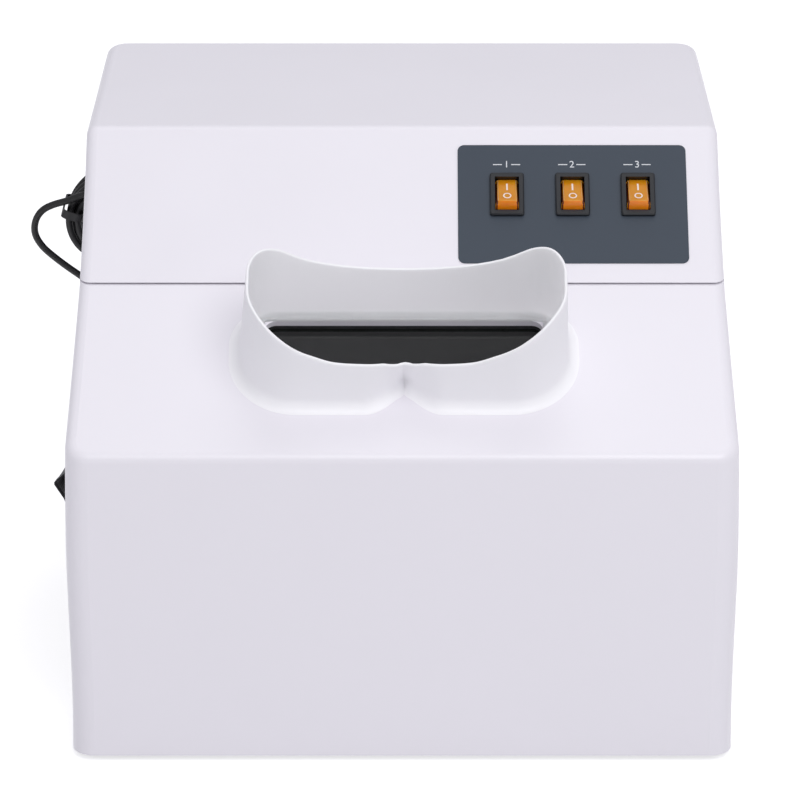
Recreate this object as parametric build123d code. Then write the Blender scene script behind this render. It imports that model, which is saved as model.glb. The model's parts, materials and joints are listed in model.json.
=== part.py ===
from build123d import *
import os
from math import atan2, ceil, cos, degrees, pi, radians, sin, sqrt, tan

os.makedirs("parts", exist_ok=True)

# A desktop dark cabinet for looking at samples under ultraviolet light.
# Millimetres. X runs to the right, Y to the back, Z up. The origin is under the middle of the cabinet.

# Cabinet
foot_height = 3.0
cabinet_depth = 270.0
cabinet_height = 240.0
head_height_over_front = 100.0
slope_run = 82.0
slope_angle = 30.0
panel_angle = 42.0
wall = 3.0
half_width = 143.2
side_taper = 0.0105
side_bulge = 0.35
side_bulge_height = 94.0
side_lean = 1.7
corner_radius = 10.0
edge_radius = 5.0
least_crease = 8.0
seam_gap = 0.8
tongue_height = 3.0
tongue_thickness = 1.5
fit_gap = 0.3

# Base
base_recess = 2.0
base_thickness = 1.5
boss_radius = 4.0
boss_height = 15.0
screw_radius = 1.5
screw_gap = 0.1
head_radius = 2.8
head_height = 1.8
foot_radius = 10.0
foot_inset_x = 32.0
foot_inset_y = 26.0
sample_side_gap = 30.2
sample_end_gap = 37.0
sample_thickness = 3.0

# Viewing hood and window, on the slope
hood_margin = 13.6
hood_shift = 0.8
hood_front_drop = 3.0
spigot_radius = 2.4
hood_back = 17.0
hood_front = 69.0
hood_notch_depth = 11.0
hood_rim_notch_depth = 0.9
hood_notch_half = 15.0
hood_wall = 1.8
hood_floor = 1.6
hood_lean = 7.2
hood_bridge_height = 31.5
hood_temple_height = 47.6
nose_dip = 1.6
window_width = 120.0
window_length = 34.0
window_middle = 38.0
window_corner = 4.0
window_lap = 3.0
gasket_thickness = 2.0
glass_thickness = 3.0
frame_thickness = 1.2
frame_border = 14.0

# Control panel
label_width = 100.6
label_height = 59.0
label_centre = 74.8
label_drop = 9.7
label_thickness = 0.4
switch_pitch = 28.75
switch_drop = 35.0
bezel_width = 15.0
bezel_height = 21.0
bezel_thickness = 2.0
switch_body_width = 13.0
switch_body_height = 19.0
switch_depth = 16.0
opening_width = 10.6
opening_height = 16.6
rocker_gap = 0.15
rocker_rise = 2.6
pivot_height = 0.4
rocker_tilt = 25.0
pin_radius = 1.0
pin_gap = 0.05
terminal_width = 4.8
terminal_thickness = 0.8
terminal_length = 8.0

# Lamp chassis
lug_size = 18.0
lug_thickness = 4.0
chassis_thickness = 1.2
lamp_back_run = 105.0
lamp_pitch = 30.0
tube_radius = 8.0
tube_length = 196.0
cap_length = 8.0
tube_height = 14.5
filter_width = 26.0
filter_length = 198.0
filter_thickness = 3.0
holder_thickness = 10.0
holder_width = 18.0
holder_height = 24.0
lamp_pin_radius = 1.2
lamp_pin_length = 6.0
reflector_thickness = 0.8
reflector_height = 26.0
ballast_width = 46.0
ballast_depth = 26.0
ballast_height = 16.0

# Arm ports and their cloth curtains
port_face = 0.6
port_run = 127.0
port_width = 130.0
port_height = 78.0
port_low = 28.0
port_radius = 14.0
trim_thickness = 1.2
trim_lap = 3.0
curtain_width = 150.0
curtain_drop = 95.0
curtain_thickness = 1.0
curtain_folds = 5
curtain_reach = 152.6
fold_depth = 3.4
band_height = 12.0
bar_length = 136.0
bar_thickness = 2.0

# Mains lead, wound in a tied ring behind the left rear corner
cord_radius = 1.7
cord_x = -120.7
gland_drop = 32.0
gland_reach = 13.2
gland_bend = 12.0
gland_radius = 4.5
gland_straight = 4.0
ring_radius = 20.3
ring_drop = 62.5
ring_pitch = 3.9
layer_pitch = 3.85
ring_dip = 1.1
ring_turns = 8
ring_start = 135.0
ring_leave = 105.0
plug_width = 22.0
plug_depth = 13.0
plug_length = 24.0
tie_angle = 163.0
tie_width = 4.0
tie_thickness = 0.8
tie_slack = 0.85

# Worked out from the sizes above
front_height = cabinet_height - head_height_over_front
gland_height = cabinet_height - gland_drop
ring_height = gland_height - ring_drop
hood_half_width = window_width / 2 + hood_margin
slope_tan = tan(radians(slope_angle))
panel_tan = tan(radians(panel_angle))
front_y = -cabinet_depth / 2
floor_z = foot_height
top_z = floor_z + cabinet_height
crease_y = front_y + slope_run
seam_z = floor_z + front_height + slope_run * slope_tan
panel_run = (top_z - seam_z) / panel_tan
ridge_y = crease_y + panel_run
base_z = floor_z + base_recess
base_top = base_z + base_thickness
chassis_z = seam_z - tongue_height - chassis_thickness - fit_gap
chassis_top = chassis_z + chassis_thickness
slope_plane = Plane(origin=(hood_shift, crease_y, seam_z), x_dir=(1, 0, 0),
                    z_dir=(0, -sin(radians(slope_angle)), cos(radians(slope_angle))))
panel_plane = Plane(origin=(0, ridge_y, top_z), x_dir=(1, 0, 0),
                    z_dir=(0, -sin(radians(panel_angle)), cos(radians(panel_angle))))
switch_places = [label_centre + step * switch_pitch for step in (-1, 0, 1)]
lamp_places = [-front_y - lamp_back_run + step * lamp_pitch for step in (0, 1, 2)]


def block(low, high):
    size = [b - a for a, b in zip(low, high)]
    middle = [(a + b) / 2 for a, b in zip(low, high)]
    return Pos(*middle) * Box(*size)


def put(plane, shape):
    return plane.location * shape


def save(node, *solids):
    shape = solids[0] if len(solids) == 1 else Compound(children=list(solids))
    export_step(shape, f"parts/{node}.step")
    print(node, round(sum(s.volume for s in solids), 1))


def screw(length, head=head_radius, tall=head_height, radius=screw_radius):
    # A cross-recessed pan-head screw: its head stands on z = 0 and its shank runs down.
    body = Pos(0, 0, tall / 2) * Cylinder(head, tall)
    body = fillet(body.edges().group_by(Axis.Z)[-1], tall * 0.45)
    for turn in (0, 90):
        body -= Pos(0, 0, tall) * Rot(0, 0, turn) * Box(head * 1.1, head * 0.28, tall)
    return body + Pos(0, 0, -length / 2) * Cylinder(radius, length)


def side_profile(inset, drop):
    # The cabinet seen from the side, moved inwards by inset and carried down by drop.
    slope_drop = inset / cos(radians(slope_angle))
    panel_drop = inset / cos(radians(panel_angle))
    shift = (panel_drop - slope_drop) / (panel_tan - slope_tan)
    high = top_z - inset
    front = front_y + inset
    back = -front_y - inset
    knee = floor_z + front_height + inset * slope_tan - slope_drop
    edge = crease_y + (high - seam_z + panel_drop) / panel_tan
    low = floor_z - drop
    crease = (crease_y + shift, seam_z + shift * slope_tan - slope_drop)
    corners = [(front, low), (front, knee), crease, (edge, high), (back, high), (back, low)]
    return Plane.YZ * make_face(Polyline(*corners, close=True))


def width_points(inset):
    heights = (0.0, 0.35, 1.0, 1.5)
    low_half = half_width
    waist = half_width - side_bulge
    swell = half_width + side_bulge
    top_half = half_width - side_lean
    halves = (low_half, waist, swell, half_width - side_bulge * 2)
    points = [(half - inset, floor_z + share * side_bulge_height) for share, half in zip(heights, halves)]
    return points + [(top_half - inset, top_z)]


def plan_block(inset):
    # The front outline of the cabinet carried to the back, a little narrower there.
    faces = []
    over = wall * 2
    for y in (front_y - over, -front_y + over):
        narrow = side_taper * (y - front_y)
        right = [(x - narrow, z) for x, z in width_points(inset)]
        left = [(-x, z) for x, z in reversed(right)]
        (low_x, low_z), (high_x, high_z) = right[0], right[-1]
        under = low_z - over
        above = high_z + over
        over_top = Polyline((high_x, high_z), (high_x, above), (-high_x, above), (-high_x, high_z))
        under_foot = Polyline((-low_x, low_z), (-low_x, under), (low_x, under), (low_x, low_z))
        outline = Spline(*right) + over_top + Spline(*left) + under_foot
        faces.append(Plane(origin=(0, y, 0), x_dir=(1, 0, 0), z_dir=(0, -1, 0)) * make_face(outline))
    return loft(faces, ruled=True)


def is_sharp(body, edge):
    sides = [face for face in body.faces() if any(edge.is_same(other) for other in face.edges())]
    if len(sides) != 2:
        return False
    first, second = [face.normal_at(edge.position_at(0.5)) for face in sides]
    return first.get_angle(second) > least_crease


def cabinet(inset, drop=0.0):
    # The rounded outside of the cabinet, or its inside where inset is the wall.
    body = extrude(side_profile(inset, drop), amount=half_width * 1.5, both=True) & plan_block(inset)
    upright = [edge for edge in body.edges() if abs(edge.tangent_at(0.5).Z) > 0.95]
    body = fillet(upright, corner_radius - inset)
    upper = [edge for edge in body.edges() if edge.center().Z > floor_z + front_height - corner_radius]
    upper = [edge for edge in upper if is_sharp(body, edge)]
    return fillet(upper, edge_radius - inset)


def slab(low, high):
    reach = half_width * 2
    return block((-reach, -reach, low), (reach, reach, high))


def wall_half(y, height):
    # Half the cabinet's outside width, on the straight line through its two ends.
    lean = side_lean * height / cabinet_height
    return half_width - lean - side_taper * (y - front_y)


# Arm ports, built in a frame whose Y points out of the cabinet's side
def side_frame(side):
    middle_y = front_y + port_run
    middle_x = half_width + port_face - side_taper * port_run
    return Plane(origin=(side * middle_x, middle_y, floor_z), x_dir=(side_taper, -side, 0), z_dir=(0, 0, 1))


def port_outline(grow):
    middle = port_low + port_height / 2
    face = RectangleRounded(port_width + 2 * grow, port_height + 2 * grow, port_radius + grow)
    return Plane(origin=(0, 0, middle), x_dir=(1, 0, 0), z_dir=(0, 1, 0)) * face


def port_prism(grow, inner, outer):
    return Pos(0, inner, 0) * extrude(port_outline(grow), amount=outer - inner)


band_low = port_low + port_height + 2 * trim_lap + 0.7
bar_start = -curtain_width / 2 + (curtain_width - bar_length)
bar_screws = [bar_start + bar_length * (2 * step + 1) / 8 for step in range(4)]


def bar_holes(radius):
    hole = Rot(90, 0, 0) * Cylinder(radius, wall * 5)
    return Compound(children=[Pos(x, 0, band_low + band_height / 2) * hole for x in bar_screws])


def port_panel():
    margin = trim_lap * 3
    low = port_low - margin
    high = band_low + band_height + margin / 2
    reach = curtain_width / 2 + margin / 2
    return block((-reach, -wall * 0.95, low), (reach, 0, high))


def port_trim():
    web = port_prism(-0.1, -wall - port_face - fit_gap, trim_thickness)
    web -= port_prism(-trim_thickness, -wall * 4, wall)
    flange = port_prism(trim_lap, 0, trim_thickness * 0.8) - port_prism(-trim_thickness, -wall, wall)
    web &= block((-port_width, -wall * 3, 0), (port_width, trim_thickness * 0.8, cabinet_height))
    return web + flange


def on_side(side, shape):
    # Every port piece is made for the left side and mirrored for the right.
    placed = put(side_frame(-1), shape)
    return placed if side < 0 else mirror(placed, Plane.YZ)


# How far down each level of a curtain lies, and the share of its folds, free corner and crest there
curtain_levels = (
    (0.0, 0.02, 0.04, 0.02),
    (3.2, 0.06, 0.5, 0.2),
    (6.4, 0.15, 1.0, 0.55),
    (14.0, 0.35, 0.36, 1.0),
    (20.2, 0.45, 0.2, 0.85),
    (33.0, 0.65, 0.1, 0.6),
)


def curtain_section(height, stand, depth, corner, crest, crest_fold):
    pitch = curtain_width / curtain_folds
    inner = []
    outer = []
    for step in range(curtain_folds):
        x0 = -curtain_width / 2 + step * pitch
        x1 = x0 + pitch
        y0 = stand + (depth * 0.4 if step else corner)
        y1 = stand + depth * 0.4
        bulge = depth * 0.6 if step % 2 else -depth * 0.4
        if step == crest_fold:
            bulge = max(crest, depth * 0.6)
        if step == 0:
            bulge = -corner * 0.12 - 0.02
        ends = [(x0, y0), ((x0 + x1) / 2, (y0 + y1) / 2 + bulge), (x1, y1)]
        inner.append(ThreePointArc(*[(x, y, height) for x, y in ends]))
        outer.append(ThreePointArc(*[(x, y + curtain_thickness, height) for x, y in ends]))
    left = Line(inner[0] @ 0, outer[0] @ 0)
    right = Line(inner[-1] @ 1, outer[-1] @ 1)
    return make_face(inner + [right] + outer + [left])


def side_x(run):
    # Half the width over the port panels, at a run back from the front.
    return half_width + port_face - side_taper * run


def curtain(side):
    # The left one's front corner stands out, and on the right one a fold does.
    stand = trim_thickness + fit_gap
    outside = stand + curtain_thickness
    pitch = curtain_width / curtain_folds
    front_run = port_run - curtain_width / 2
    small = 0.6
    crest_fold = curtain_folds - 1
    corner = curtain_reach - side_x(front_run) - outside if side < 0 else small
    crest_run = front_run + (crest_fold + 0.5) * pitch
    crest = 0 if side < 0 else curtain_reach - side_x(crest_run) - outside - fold_depth * 0.14
    levels = curtain_levels + ((curtain_drop, 1.0, small / corner, 0.5),)
    sections = []
    for down, fold_share, corner_share, crest_share in levels:
        rise = min(down / 3.2, 1) * (stand - 0.05) + 0.05
        corner_out = max(corner * corner_share, 0.02)
        height = band_low - fit_gap - down
        folds = fold_depth * fold_share
        sections.append(curtain_section(height, rise, folds, corner_out, crest * crest_share, crest_fold))
    return on_side(side, loft(sections, ruled=True))


def curtain_band(side):
    far = (bar_start + bar_length, curtain_thickness, band_low + band_height)
    band = block((bar_start, 0, band_low), far)
    return on_side(side, band - bar_holes(screw_radius + screw_gap))


def clamp_bar(side):
    low = band_low + 0.5
    high = band_low + band_height - 0.5
    far = (bar_start + bar_length, curtain_thickness + bar_thickness, high)
    bar = block((bar_start, curtain_thickness, low), far)
    bar = chamfer(bar.faces().sort_by(Axis.Y)[-1].edges(), 0.6)
    sinks = [clamp_screw_shape(x, screw_gap) for x in bar_screws]
    return on_side(side, bar - bar_holes(screw_radius + screw_gap) - Compound(children=sinks))


def clamp_screw_shape(x, grow=0.0):
    # A countersunk screw, flush with the clamp bar.
    face = curtain_thickness + bar_thickness
    middle = band_low + band_height / 2
    cone_depth = bar_thickness * 0.7
    cone = Cone(screw_radius + grow, head_radius + grow, cone_depth + grow)
    cone = Pos(0, 0, -(cone_depth + grow) / 2) * cone
    body = cone
    if not grow:
        length = face + wall + port_face
        body += Pos(0, 0, -length / 2) * Cylinder(screw_radius, length)
        for turn in (0, 90):
            body -= Rot(0, 0, turn) * Box(head_radius * 1.1, head_radius * 0.28, head_height * 0.8)
    return Pos(x, face, middle) * Rot(-90, 0, 0) * body


def clamp_screws():
    return [on_side(side, clamp_screw_shape(x)) for side in (-1, 1) for x in bar_screws]


# Main housing
def base_boss_places():
    y_edge = cabinet_depth / 2 - wall - boss_radius - 2
    places = []
    for y in (-y_edge, 0, y_edge):
        x = wall_half(y, 0) - wall - boss_radius - 2
        places += [(-x, y), (x, y)]
    return places


def cover_boss_places():
    places = []
    for run in (slope_run + lug_size * 1.2, cabinet_depth - wall - lug_size * 0.55):
        y = front_y + run
        x = wall_half(y, front_height) - wall - boss_radius - tongue_thickness - 2 * fit_gap - 0.6
        places += [(-x, y), (x, y)]
    return places


def window_boss_places():
    x = window_width / 2 + window_lap + boss_radius + 2
    y = window_length / 2 - window_lap
    return [(sx * x, -window_middle + sy * y) for sx in (-1, 1) for sy in (-1, 1)]


def hood_screw_places():
    x = window_width / 2 + window_lap + head_radius + 1.6
    return [(sx * x, -window_middle + sy * head_radius * 2.1) for sx in (-1, 1) for sy in (-1, 1)]


def window_opening(low, high):
    face = Pos(0, -window_middle) * RectangleRounded(window_width, window_length, edge_radius)
    return Pos(0, 0, low) * extrude(face, amount=high - low)


def tongue():
    # A lip inside the seam, round the sides and the back, that keeps light out and sits in the cover.
    behind_crease = block((-half_width, crease_y + 2 * edge_radius, 0), (half_width, -front_y, top_z))
    low = seam_z - tongue_height
    lower = (cabinet(wall - 0.6) - cabinet(wall + tongue_thickness)) & slab(low, seam_z - seam_gap / 2)
    upper = cabinet(wall + fit_gap) - cabinet(wall + fit_gap + tongue_thickness)
    upper &= slab(seam_z - seam_gap, seam_z + tongue_height)
    return (lower + upper) & behind_crease


def main_housing():
    shell = cabinet(0) - cabinet(wall, wall * 2)
    shell &= slab(0, seam_z - seam_gap / 2)
    shell += tongue()
    for x, y in base_boss_places():
        toward = 1 if x > 0 else -1
        post = Pos(x, y, base_top + boss_height / 2) * Cylinder(boss_radius, boss_height)
        reach = toward * (wall_half(y, 0) - wall / 2)
        web = block((min(x, reach), y - 1.2, base_top), (max(x, reach), y + 1.2, base_top + boss_height))
        hole = Cylinder(screw_radius + screw_gap, boss_height - 2)
        hole = Pos(x, y, base_top + boss_height / 2 - 1) * hole
        shell += post + web
        shell -= hole
    for x, y in cover_boss_places():
        toward = 1 if x > 0 else -1
        near = x - toward * lug_size * 0.4
        reach = toward * (wall_half(y, front_height) - wall / 2)
        low_x, high_x = min(near, reach), max(near, reach)
        half = lug_size * 0.45
        shell += block((low_x, y - half, chassis_z - lug_thickness), (high_x, y + half, chassis_z))
        shell -= Pos(x, y, chassis_z) * Cylinder(screw_radius + screw_gap, lug_thickness * 3)
    for x, y in window_boss_places():
        depth = gasket_thickness + glass_thickness
        post = Pos(x, y, -wall - depth / 2 + 0.5) * Cylinder(boss_radius - 0.5, depth + 1)
        hole = Pos(x, y, -wall - depth / 2) * Cylinder(screw_radius + screw_gap, depth + 1)
        shell += put(slope_plane, post)
        shell -= put(slope_plane, hole)
    for x, y in hood_screw_places():
        shell -= put(slope_plane, Pos(x, y, -wall / 2) * Cylinder(spigot_radius + screw_gap, wall * 2))
    shell -= put(slope_plane, window_opening(-wall * 2, wall))
    for side in (-1, 1):
        shell += on_side(side, port_panel())
        shell -= on_side(side, port_prism(0, -wall * 4, wall))
        shell -= on_side(side, bar_holes(screw_radius + screw_gap))
    return shell


def lamp_housing_cover():
    shell = (cabinet(0) - cabinet(wall)) & slab(seam_z + seam_gap / 2, top_z + wall)
    for x, y in cover_boss_places():
        toward = 1 if x > 0 else -1
        high = seam_z + tongue_height * 4
        post = Pos(x, y, (chassis_top + high) / 2) * Cylinder(boss_radius, high - chassis_top)
        web_low = seam_z + tongue_height + fit_gap
        reach = toward * (wall_half(y, cabinet_height) - wall / 2)
        web = block((min(x, reach), y - 1.2, web_low), (max(x, reach), y + 1.2, high))
        hole = Cylinder(screw_radius + screw_gap, boss_height * 0.8)
        hole = Pos(x, y, chassis_top + boss_height * 0.4) * hole
        shell += post + web
        shell -= hole
    for x in switch_places:
        hole = Box(switch_body_width + 0.3, switch_body_height + 0.3, wall * 4)
        shell -= put(panel_plane, Pos(x, -switch_drop, 0) * hole)
    shell -= gland_hole(gland_radius + screw_gap)
    return shell


def gland_hole(radius):
    return Pos(cord_x, -front_y, floor_z + gland_height) * Rot(90, 0, 0) * Cylinder(radius, wall * 4)


def base_plate():
    plate = cabinet(wall + fit_gap, wall * 2) & slab(base_z, base_top)
    for x, y in base_boss_places() + foot_places():
        plate -= Pos(x, y, base_z) * Cylinder(screw_radius + screw_gap, base_thickness * 4)
    return plate


def foot_places():
    x = half_width - foot_inset_x
    y = cabinet_depth / 2 - foot_inset_y
    return [(sx * x, sy * y) for sx in (-1, 1) for sy in (-1, 1)]


def rubber_feet():
    feet = []
    for x, y in foot_places():
        foot = Pos(0, 0, base_z / 2) * Cone(foot_radius * 0.82, foot_radius, base_z)
        foot -= Pos(0, 0, head_height * 0.6) * Cylinder(head_radius + 0.4, head_height * 1.2 + 0.6)
        foot -= Pos(0, 0, base_z / 2) * Cylinder(screw_radius + screw_gap, base_z * 2)
        feet.append(Pos(x, y, 0) * foot)
    return feet


def foot_screws():
    head_top = head_height * 1.2 + 0.3
    length = base_top - head_top + 1.0
    return [Pos(x, y, head_top) * Rot(180, 0, 0) * screw(length) for x, y in foot_places()]


def base_screws():
    return [Pos(x, y, base_z) * Rot(180, 0, 0) * screw(boss_height * 0.7) for x, y in base_boss_places()]


def cover_screws():
    under = chassis_z - lug_thickness
    length = lug_thickness + chassis_thickness + boss_height * 0.6
    return [Pos(x, y, under) * Rot(180, 0, 0) * screw(length) for x, y in cover_boss_places()]


def sample_plate():
    low = base_top
    far = (half_width - sample_side_gap, -front_y - sample_end_gap, low + sample_thickness)
    plate = block((-far[0], -far[1], low), far)
    return fillet(plate.edges().filter_by(Axis.Z), edge_radius)


# Viewing hood, built on the slope's plane with Y running up the slope

def hood_outline(share, notch_depth, inset):
    lean = hood_lean * share
    half = hood_half_width - lean
    back = -hood_back
    front = -hood_front + lean * 0.25
    face = Pos(0, (back + front) / 2) * Rectangle(2 * half, back - front)
    face = fillet(face.vertices().group_by(Axis.Y)[-1], edge_radius * 4.2)
    face = fillet(face.vertices().group_by(Axis.Y)[0], edge_radius * 5.0)
    corners = ((-hood_notch_half, front - 1), (0, front + notch_depth), (hood_notch_half, front - 1))
    face -= make_face(Polyline(*corners, close=True))
    tip = [v for v in face.vertices() if abs(v.X) < 0.01 and v.Y < (back + front) / 2]
    face = fillet(tip, edge_radius * 0.8)
    edge = [v for v in face.vertices() if abs(v.Y - front) < 0.01]
    shoulders = [v for v in edge if 1 < abs(v.X) < hood_notch_half + 1]
    face = fillet(shoulders, edge_radius * 1.6)
    return offset(face, amount=-inset) if inset else face


def hood_tower(inset, low, high):
    # The nose notch is deep at the foot and almost gone at the rim over the nose.
    nose = hood_bridge_height - nose_dip
    rim = hood_rim_notch_depth
    levels = ((low, 0, hood_notch_depth), (nose, nose / high, rim), (high, 1, rim))
    outlines = [Pos(0, 0, z) * hood_outline(share, depth, inset) for z, share, depth in levels]
    return loft(outlines, ruled=True)


def rim_cut(high):
    # What stands over the brow and nose line: low at the middle, high at the temples.
    # The line drops towards the front.
    rise = hood_temple_height - hood_bridge_height
    shares = ((0, 0), (0.28, 0.08), (0.55, 0.36), (0.75, 0.84), (0.86, 1.0), (0.97, 0.93), (1.2, 0.7))
    right = [(hood_half_width * a, hood_bridge_height + rise * b) for a, b in shares]
    left = [(-x, z) for x, z in reversed(right[1:])]
    far = right[-1][0]
    line = Spline(*(left + right)) + Polyline(right[-1], (far, high * 2), (-far, high * 2), left[0])
    face = Plane.XZ * make_face(line)
    nose = Rot(90, 0, 0) * Cylinder(hood_notch_half, hood_front)
    cut = extrude(face, amount=hood_front * 1.5, both=True)
    cut += Pos(0, -hood_front, hood_bridge_height + hood_notch_half - nose_dip) * nose
    tilt = atan2(hood_front_drop, hood_front - hood_back)
    return Pos(0, -hood_back, 0) * Rot(degrees(tilt), 0, 0) * Pos(0, hood_back, 0) * cut


def viewing_hood():
    high = hood_temple_height + 4
    hood = hood_tower(0, 0, high) - hood_tower(hood_wall, hood_floor, high + 1)
    hood -= window_opening(-wall, hood_floor * 2)
    hood -= rim_cut(high)
    for x, y in hood_screw_places():
        hood += Pos(x, y, -wall / 2 + 0.25) * Cylinder(spigot_radius, wall - 0.5)
        hood -= Pos(x, y, -wall / 2) * Cylinder(screw_radius * 0.6, wall + hood_floor)
    return put(slope_plane, hood)


def hood_screws():
    # Small screws from inside, up into the hood's spigots.
    small = screw_radius * 0.6 - 0.05
    return [put(slope_plane, Pos(x, y, -wall) * Rot(180, 0, 0) * screw(wall, radius=small, tall=1.4))
            for x, y in hood_screw_places()]


def window_ring(border, low, thick, inner_grow=0.0):
    outer = RectangleRounded(window_width + 2 * border, window_length + 2 * window_lap, window_corner)
    inner = RectangleRounded(window_width - inner_grow, window_length - inner_grow, edge_radius)
    return Pos(0, -window_middle, low) * extrude(outer - inner, amount=thick)


def window_gasket():
    return put(slope_plane, window_ring(window_lap, -wall - gasket_thickness, gasket_thickness))


def uv_window():
    lap = 2 * window_lap
    face = RectangleRounded(window_width + lap, window_length + lap, window_corner)
    low = -wall - gasket_thickness - glass_thickness
    return put(slope_plane, Pos(0, -window_middle, low) * extrude(face, amount=glass_thickness))


def window_frame():
    low = -wall - gasket_thickness - glass_thickness - frame_thickness
    ring = window_ring(frame_border, low, frame_thickness, 2.0)
    for x, y in window_boss_places():
        ring -= Pos(x, y, low) * Cylinder(screw_radius + screw_gap, wall * 2)
    return put(slope_plane, ring)


def window_frame_screws():
    low = -wall - gasket_thickness - glass_thickness - frame_thickness
    one = Rot(180, 0, 0) * screw(frame_thickness + glass_thickness)
    return [put(slope_plane, Pos(x, y, low) * one) for x, y in window_boss_places()]


# Control panel, built on the panel's plane with Y running up it
def control_label():
    middle = -label_drop - label_height / 2
    face = Pos(label_centre, middle) * RectangleRounded(label_width, label_height, wall)
    for x in switch_places:
        face -= Pos(x, -switch_drop) * Rectangle(switch_body_width + 0.3, switch_body_height + 0.3)
    return put(panel_plane, extrude(face, amount=label_thickness))


def switch_housing(x):
    low = -switch_depth
    floor = label_thickness
    half_x, half_y = switch_body_width / 2, switch_body_height / 2
    body = block((-half_x, -half_y, low), (half_x, half_y, floor + 0.2))
    bezel = RectangleRounded(bezel_width, bezel_height, 1.2)
    bezel = Pos(0, 0, floor) * extrude(bezel, amount=bezel_thickness)
    bezel = chamfer(bezel.faces().sort_by(Axis.Z)[-1].outer_wire().edges(), 0.5)
    body += bezel
    top = floor + bezel_thickness
    well = wall
    open_x, open_y = opening_width / 2, opening_height / 2
    body -= block((-open_x, -open_y, low + well), (open_x, open_y, top + 1))
    pivot = Pos(0, 0, floor + pivot_height) * Rot(0, 90, 0)
    body -= pivot * Cylinder(pin_radius + pin_gap, opening_width + 2.4)
    for place in terminal_places():
        body -= Pos(0, place, low) * Box(terminal_width + 0.1, terminal_thickness + 0.1, 2 * well - 0.6)
    return put(panel_plane, Pos(x, -switch_drop, 0) * body)


def terminal_places():
    return [step * switch_body_height * 0.32 for step in (-1, 0, 1)]


def switch_terminals():
    blades = []
    seat = wall - 0.5
    for x in switch_places:
        for place in terminal_places():
            size = (terminal_width, terminal_thickness, terminal_length + seat)
            blade = Pos(x, -switch_drop + place, -switch_depth + seat - size[2] / 2) * Box(*size)
            blades.append(put(panel_plane, blade))
    return blades


def rocker(x):
    # A two-ended rocker on round stubs. Its ends are arcs about the pivot, so that they clear the bezel.
    reach = opening_height / 2 - rocker_gap
    half = sqrt(reach ** 2 - rocker_rise ** 2)
    low = -reach * sin(radians(35))
    low_half = reach * cos(radians(35))
    edge = [
        Polyline((-half, rocker_rise), (0, rocker_rise - 0.35), (half, rocker_rise)),
        ThreePointArc((half, rocker_rise), (reach, 0), (low_half, low)),
        Line((low_half, low), (-low_half, low)),
        ThreePointArc((-low_half, low), (-reach, 0), (-half, rocker_rise)),
    ]
    face = Plane.YZ * make_face(edge)
    wide = opening_width - 2 * rocker_gap
    body = extrude(face, amount=wide / 2, both=True)
    body += Rot(0, 90, 0) * Cylinder(pin_radius, opening_width + 2.0)
    place = Pos(x, -switch_drop, label_thickness + pivot_height) * Rot(-rocker_tilt, 0, 0)
    return put(panel_plane, place * body)


# Lamp chassis and what stands on it
def lamp_chassis():
    plate = cabinet(wall + tongue_thickness * 0.3) & slab(chassis_z, chassis_top)
    for y in lamp_places:
        plate -= Pos(0, y, chassis_z) * Box(filter_length - 10, filter_width - 4, wall * 2)
    for x, y in cover_boss_places():
        plate -= Pos(x, y, chassis_z) * Cylinder(screw_radius + screw_gap, wall * 2)
    return plate


def lamp_filter(y):
    near = (-filter_length / 2, y - filter_width / 2, chassis_top)
    plate = block(near, (filter_length / 2, y + filter_width / 2, chassis_top + filter_thickness))
    return chamfer(plate.edges().filter_by(Axis.Z), 1.0)


def lamp_tube(y):
    return Pos(0, y, chassis_top + tube_height) * Rot(0, 90, 0) * Cylinder(tube_radius, tube_length)


def tube_end_caps():
    caps = []
    for y in lamp_places:
        for end in (-1, 1):
            cap = Pos(0, 0, cap_length / 2) * Cylinder(tube_radius + 0.1, cap_length)
            cap = fillet(cap.edges().group_by(Axis.Z)[-1], 1.0)
            one = Cylinder(lamp_pin_radius, lamp_pin_length)
            for pin in (-1, 1):
                cap += Pos(0, pin * 2.4, cap_length + lamp_pin_length / 2) * one
            place = Pos(end * tube_length / 2, y, chassis_top + tube_height) * Rot(0, end * 90, 0)
            caps.append(place * cap)
    return caps


def lamp_holders():
    holders = []
    face = tube_length / 2 + cap_length
    for y in lamp_places:
        for end in (-1, 1):
            near, far = sorted((end * face, end * (face + holder_thickness)))
            high = chassis_top + holder_height
            body = block((near, y - holder_width / 2, chassis_top), (far, y + holder_width / 2, high))
            body = fillet(body.edges().filter_by(Axis.X).group_by(Axis.Z)[-1], 3)
            slot = Pos(end * face, y, chassis_top + tube_height)
            body -= slot * Box(2 * lamp_pin_length + 1, 4.8 + 2.9, 2 * lamp_pin_radius + 0.6)
            holders.append(body)
    return holders


def lamp_reflector():
    foot = reflector_thickness / 2 + 0.1
    points = []
    for y in lamp_places:
        edge = lamp_pitch / 2 - foot
        points += [(y - edge, foot), (y - edge * 0.6, reflector_height)]
        points += [(y + edge * 0.6, reflector_height), (y + edge, foot)]
    line = Polyline(*[(y, chassis_top + z) for y, z in points])
    strip = Plane.YZ * trace(line, reflector_thickness)
    return extrude(strip, amount=tube_length / 2, both=True)


def ballasts():
    cases = []
    middle_y = lamp_places[0] - lamp_pitch / 2 - ballast_depth / 2 - wall * 1.5
    for step in range(3):
        x = -half_width + wall * 5 + ballast_width / 2 + step * (ballast_width + wall)
        case = Box(ballast_width, ballast_depth, ballast_height)
        case = fillet(case.edges().filter_by(Axis.Z), 2)
        cases.append(Pos(x, middle_y, chassis_top + ballast_height / 2) * case)
    return cases


def terminal_block():
    length = 42.0
    low_y = lamp_places[-1] + lamp_pitch / 2 + wall
    body = block((-length, low_y, chassis_top), (0, low_y + 14, chassis_top + 12))
    for step in range(5):
        body -= Pos(-length * (step + 0.5) / 5, low_y + 7, chassis_top + 12) * Cylinder(2.2, 10)
    return Pos(-length / 2, 0, 0) * body


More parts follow.
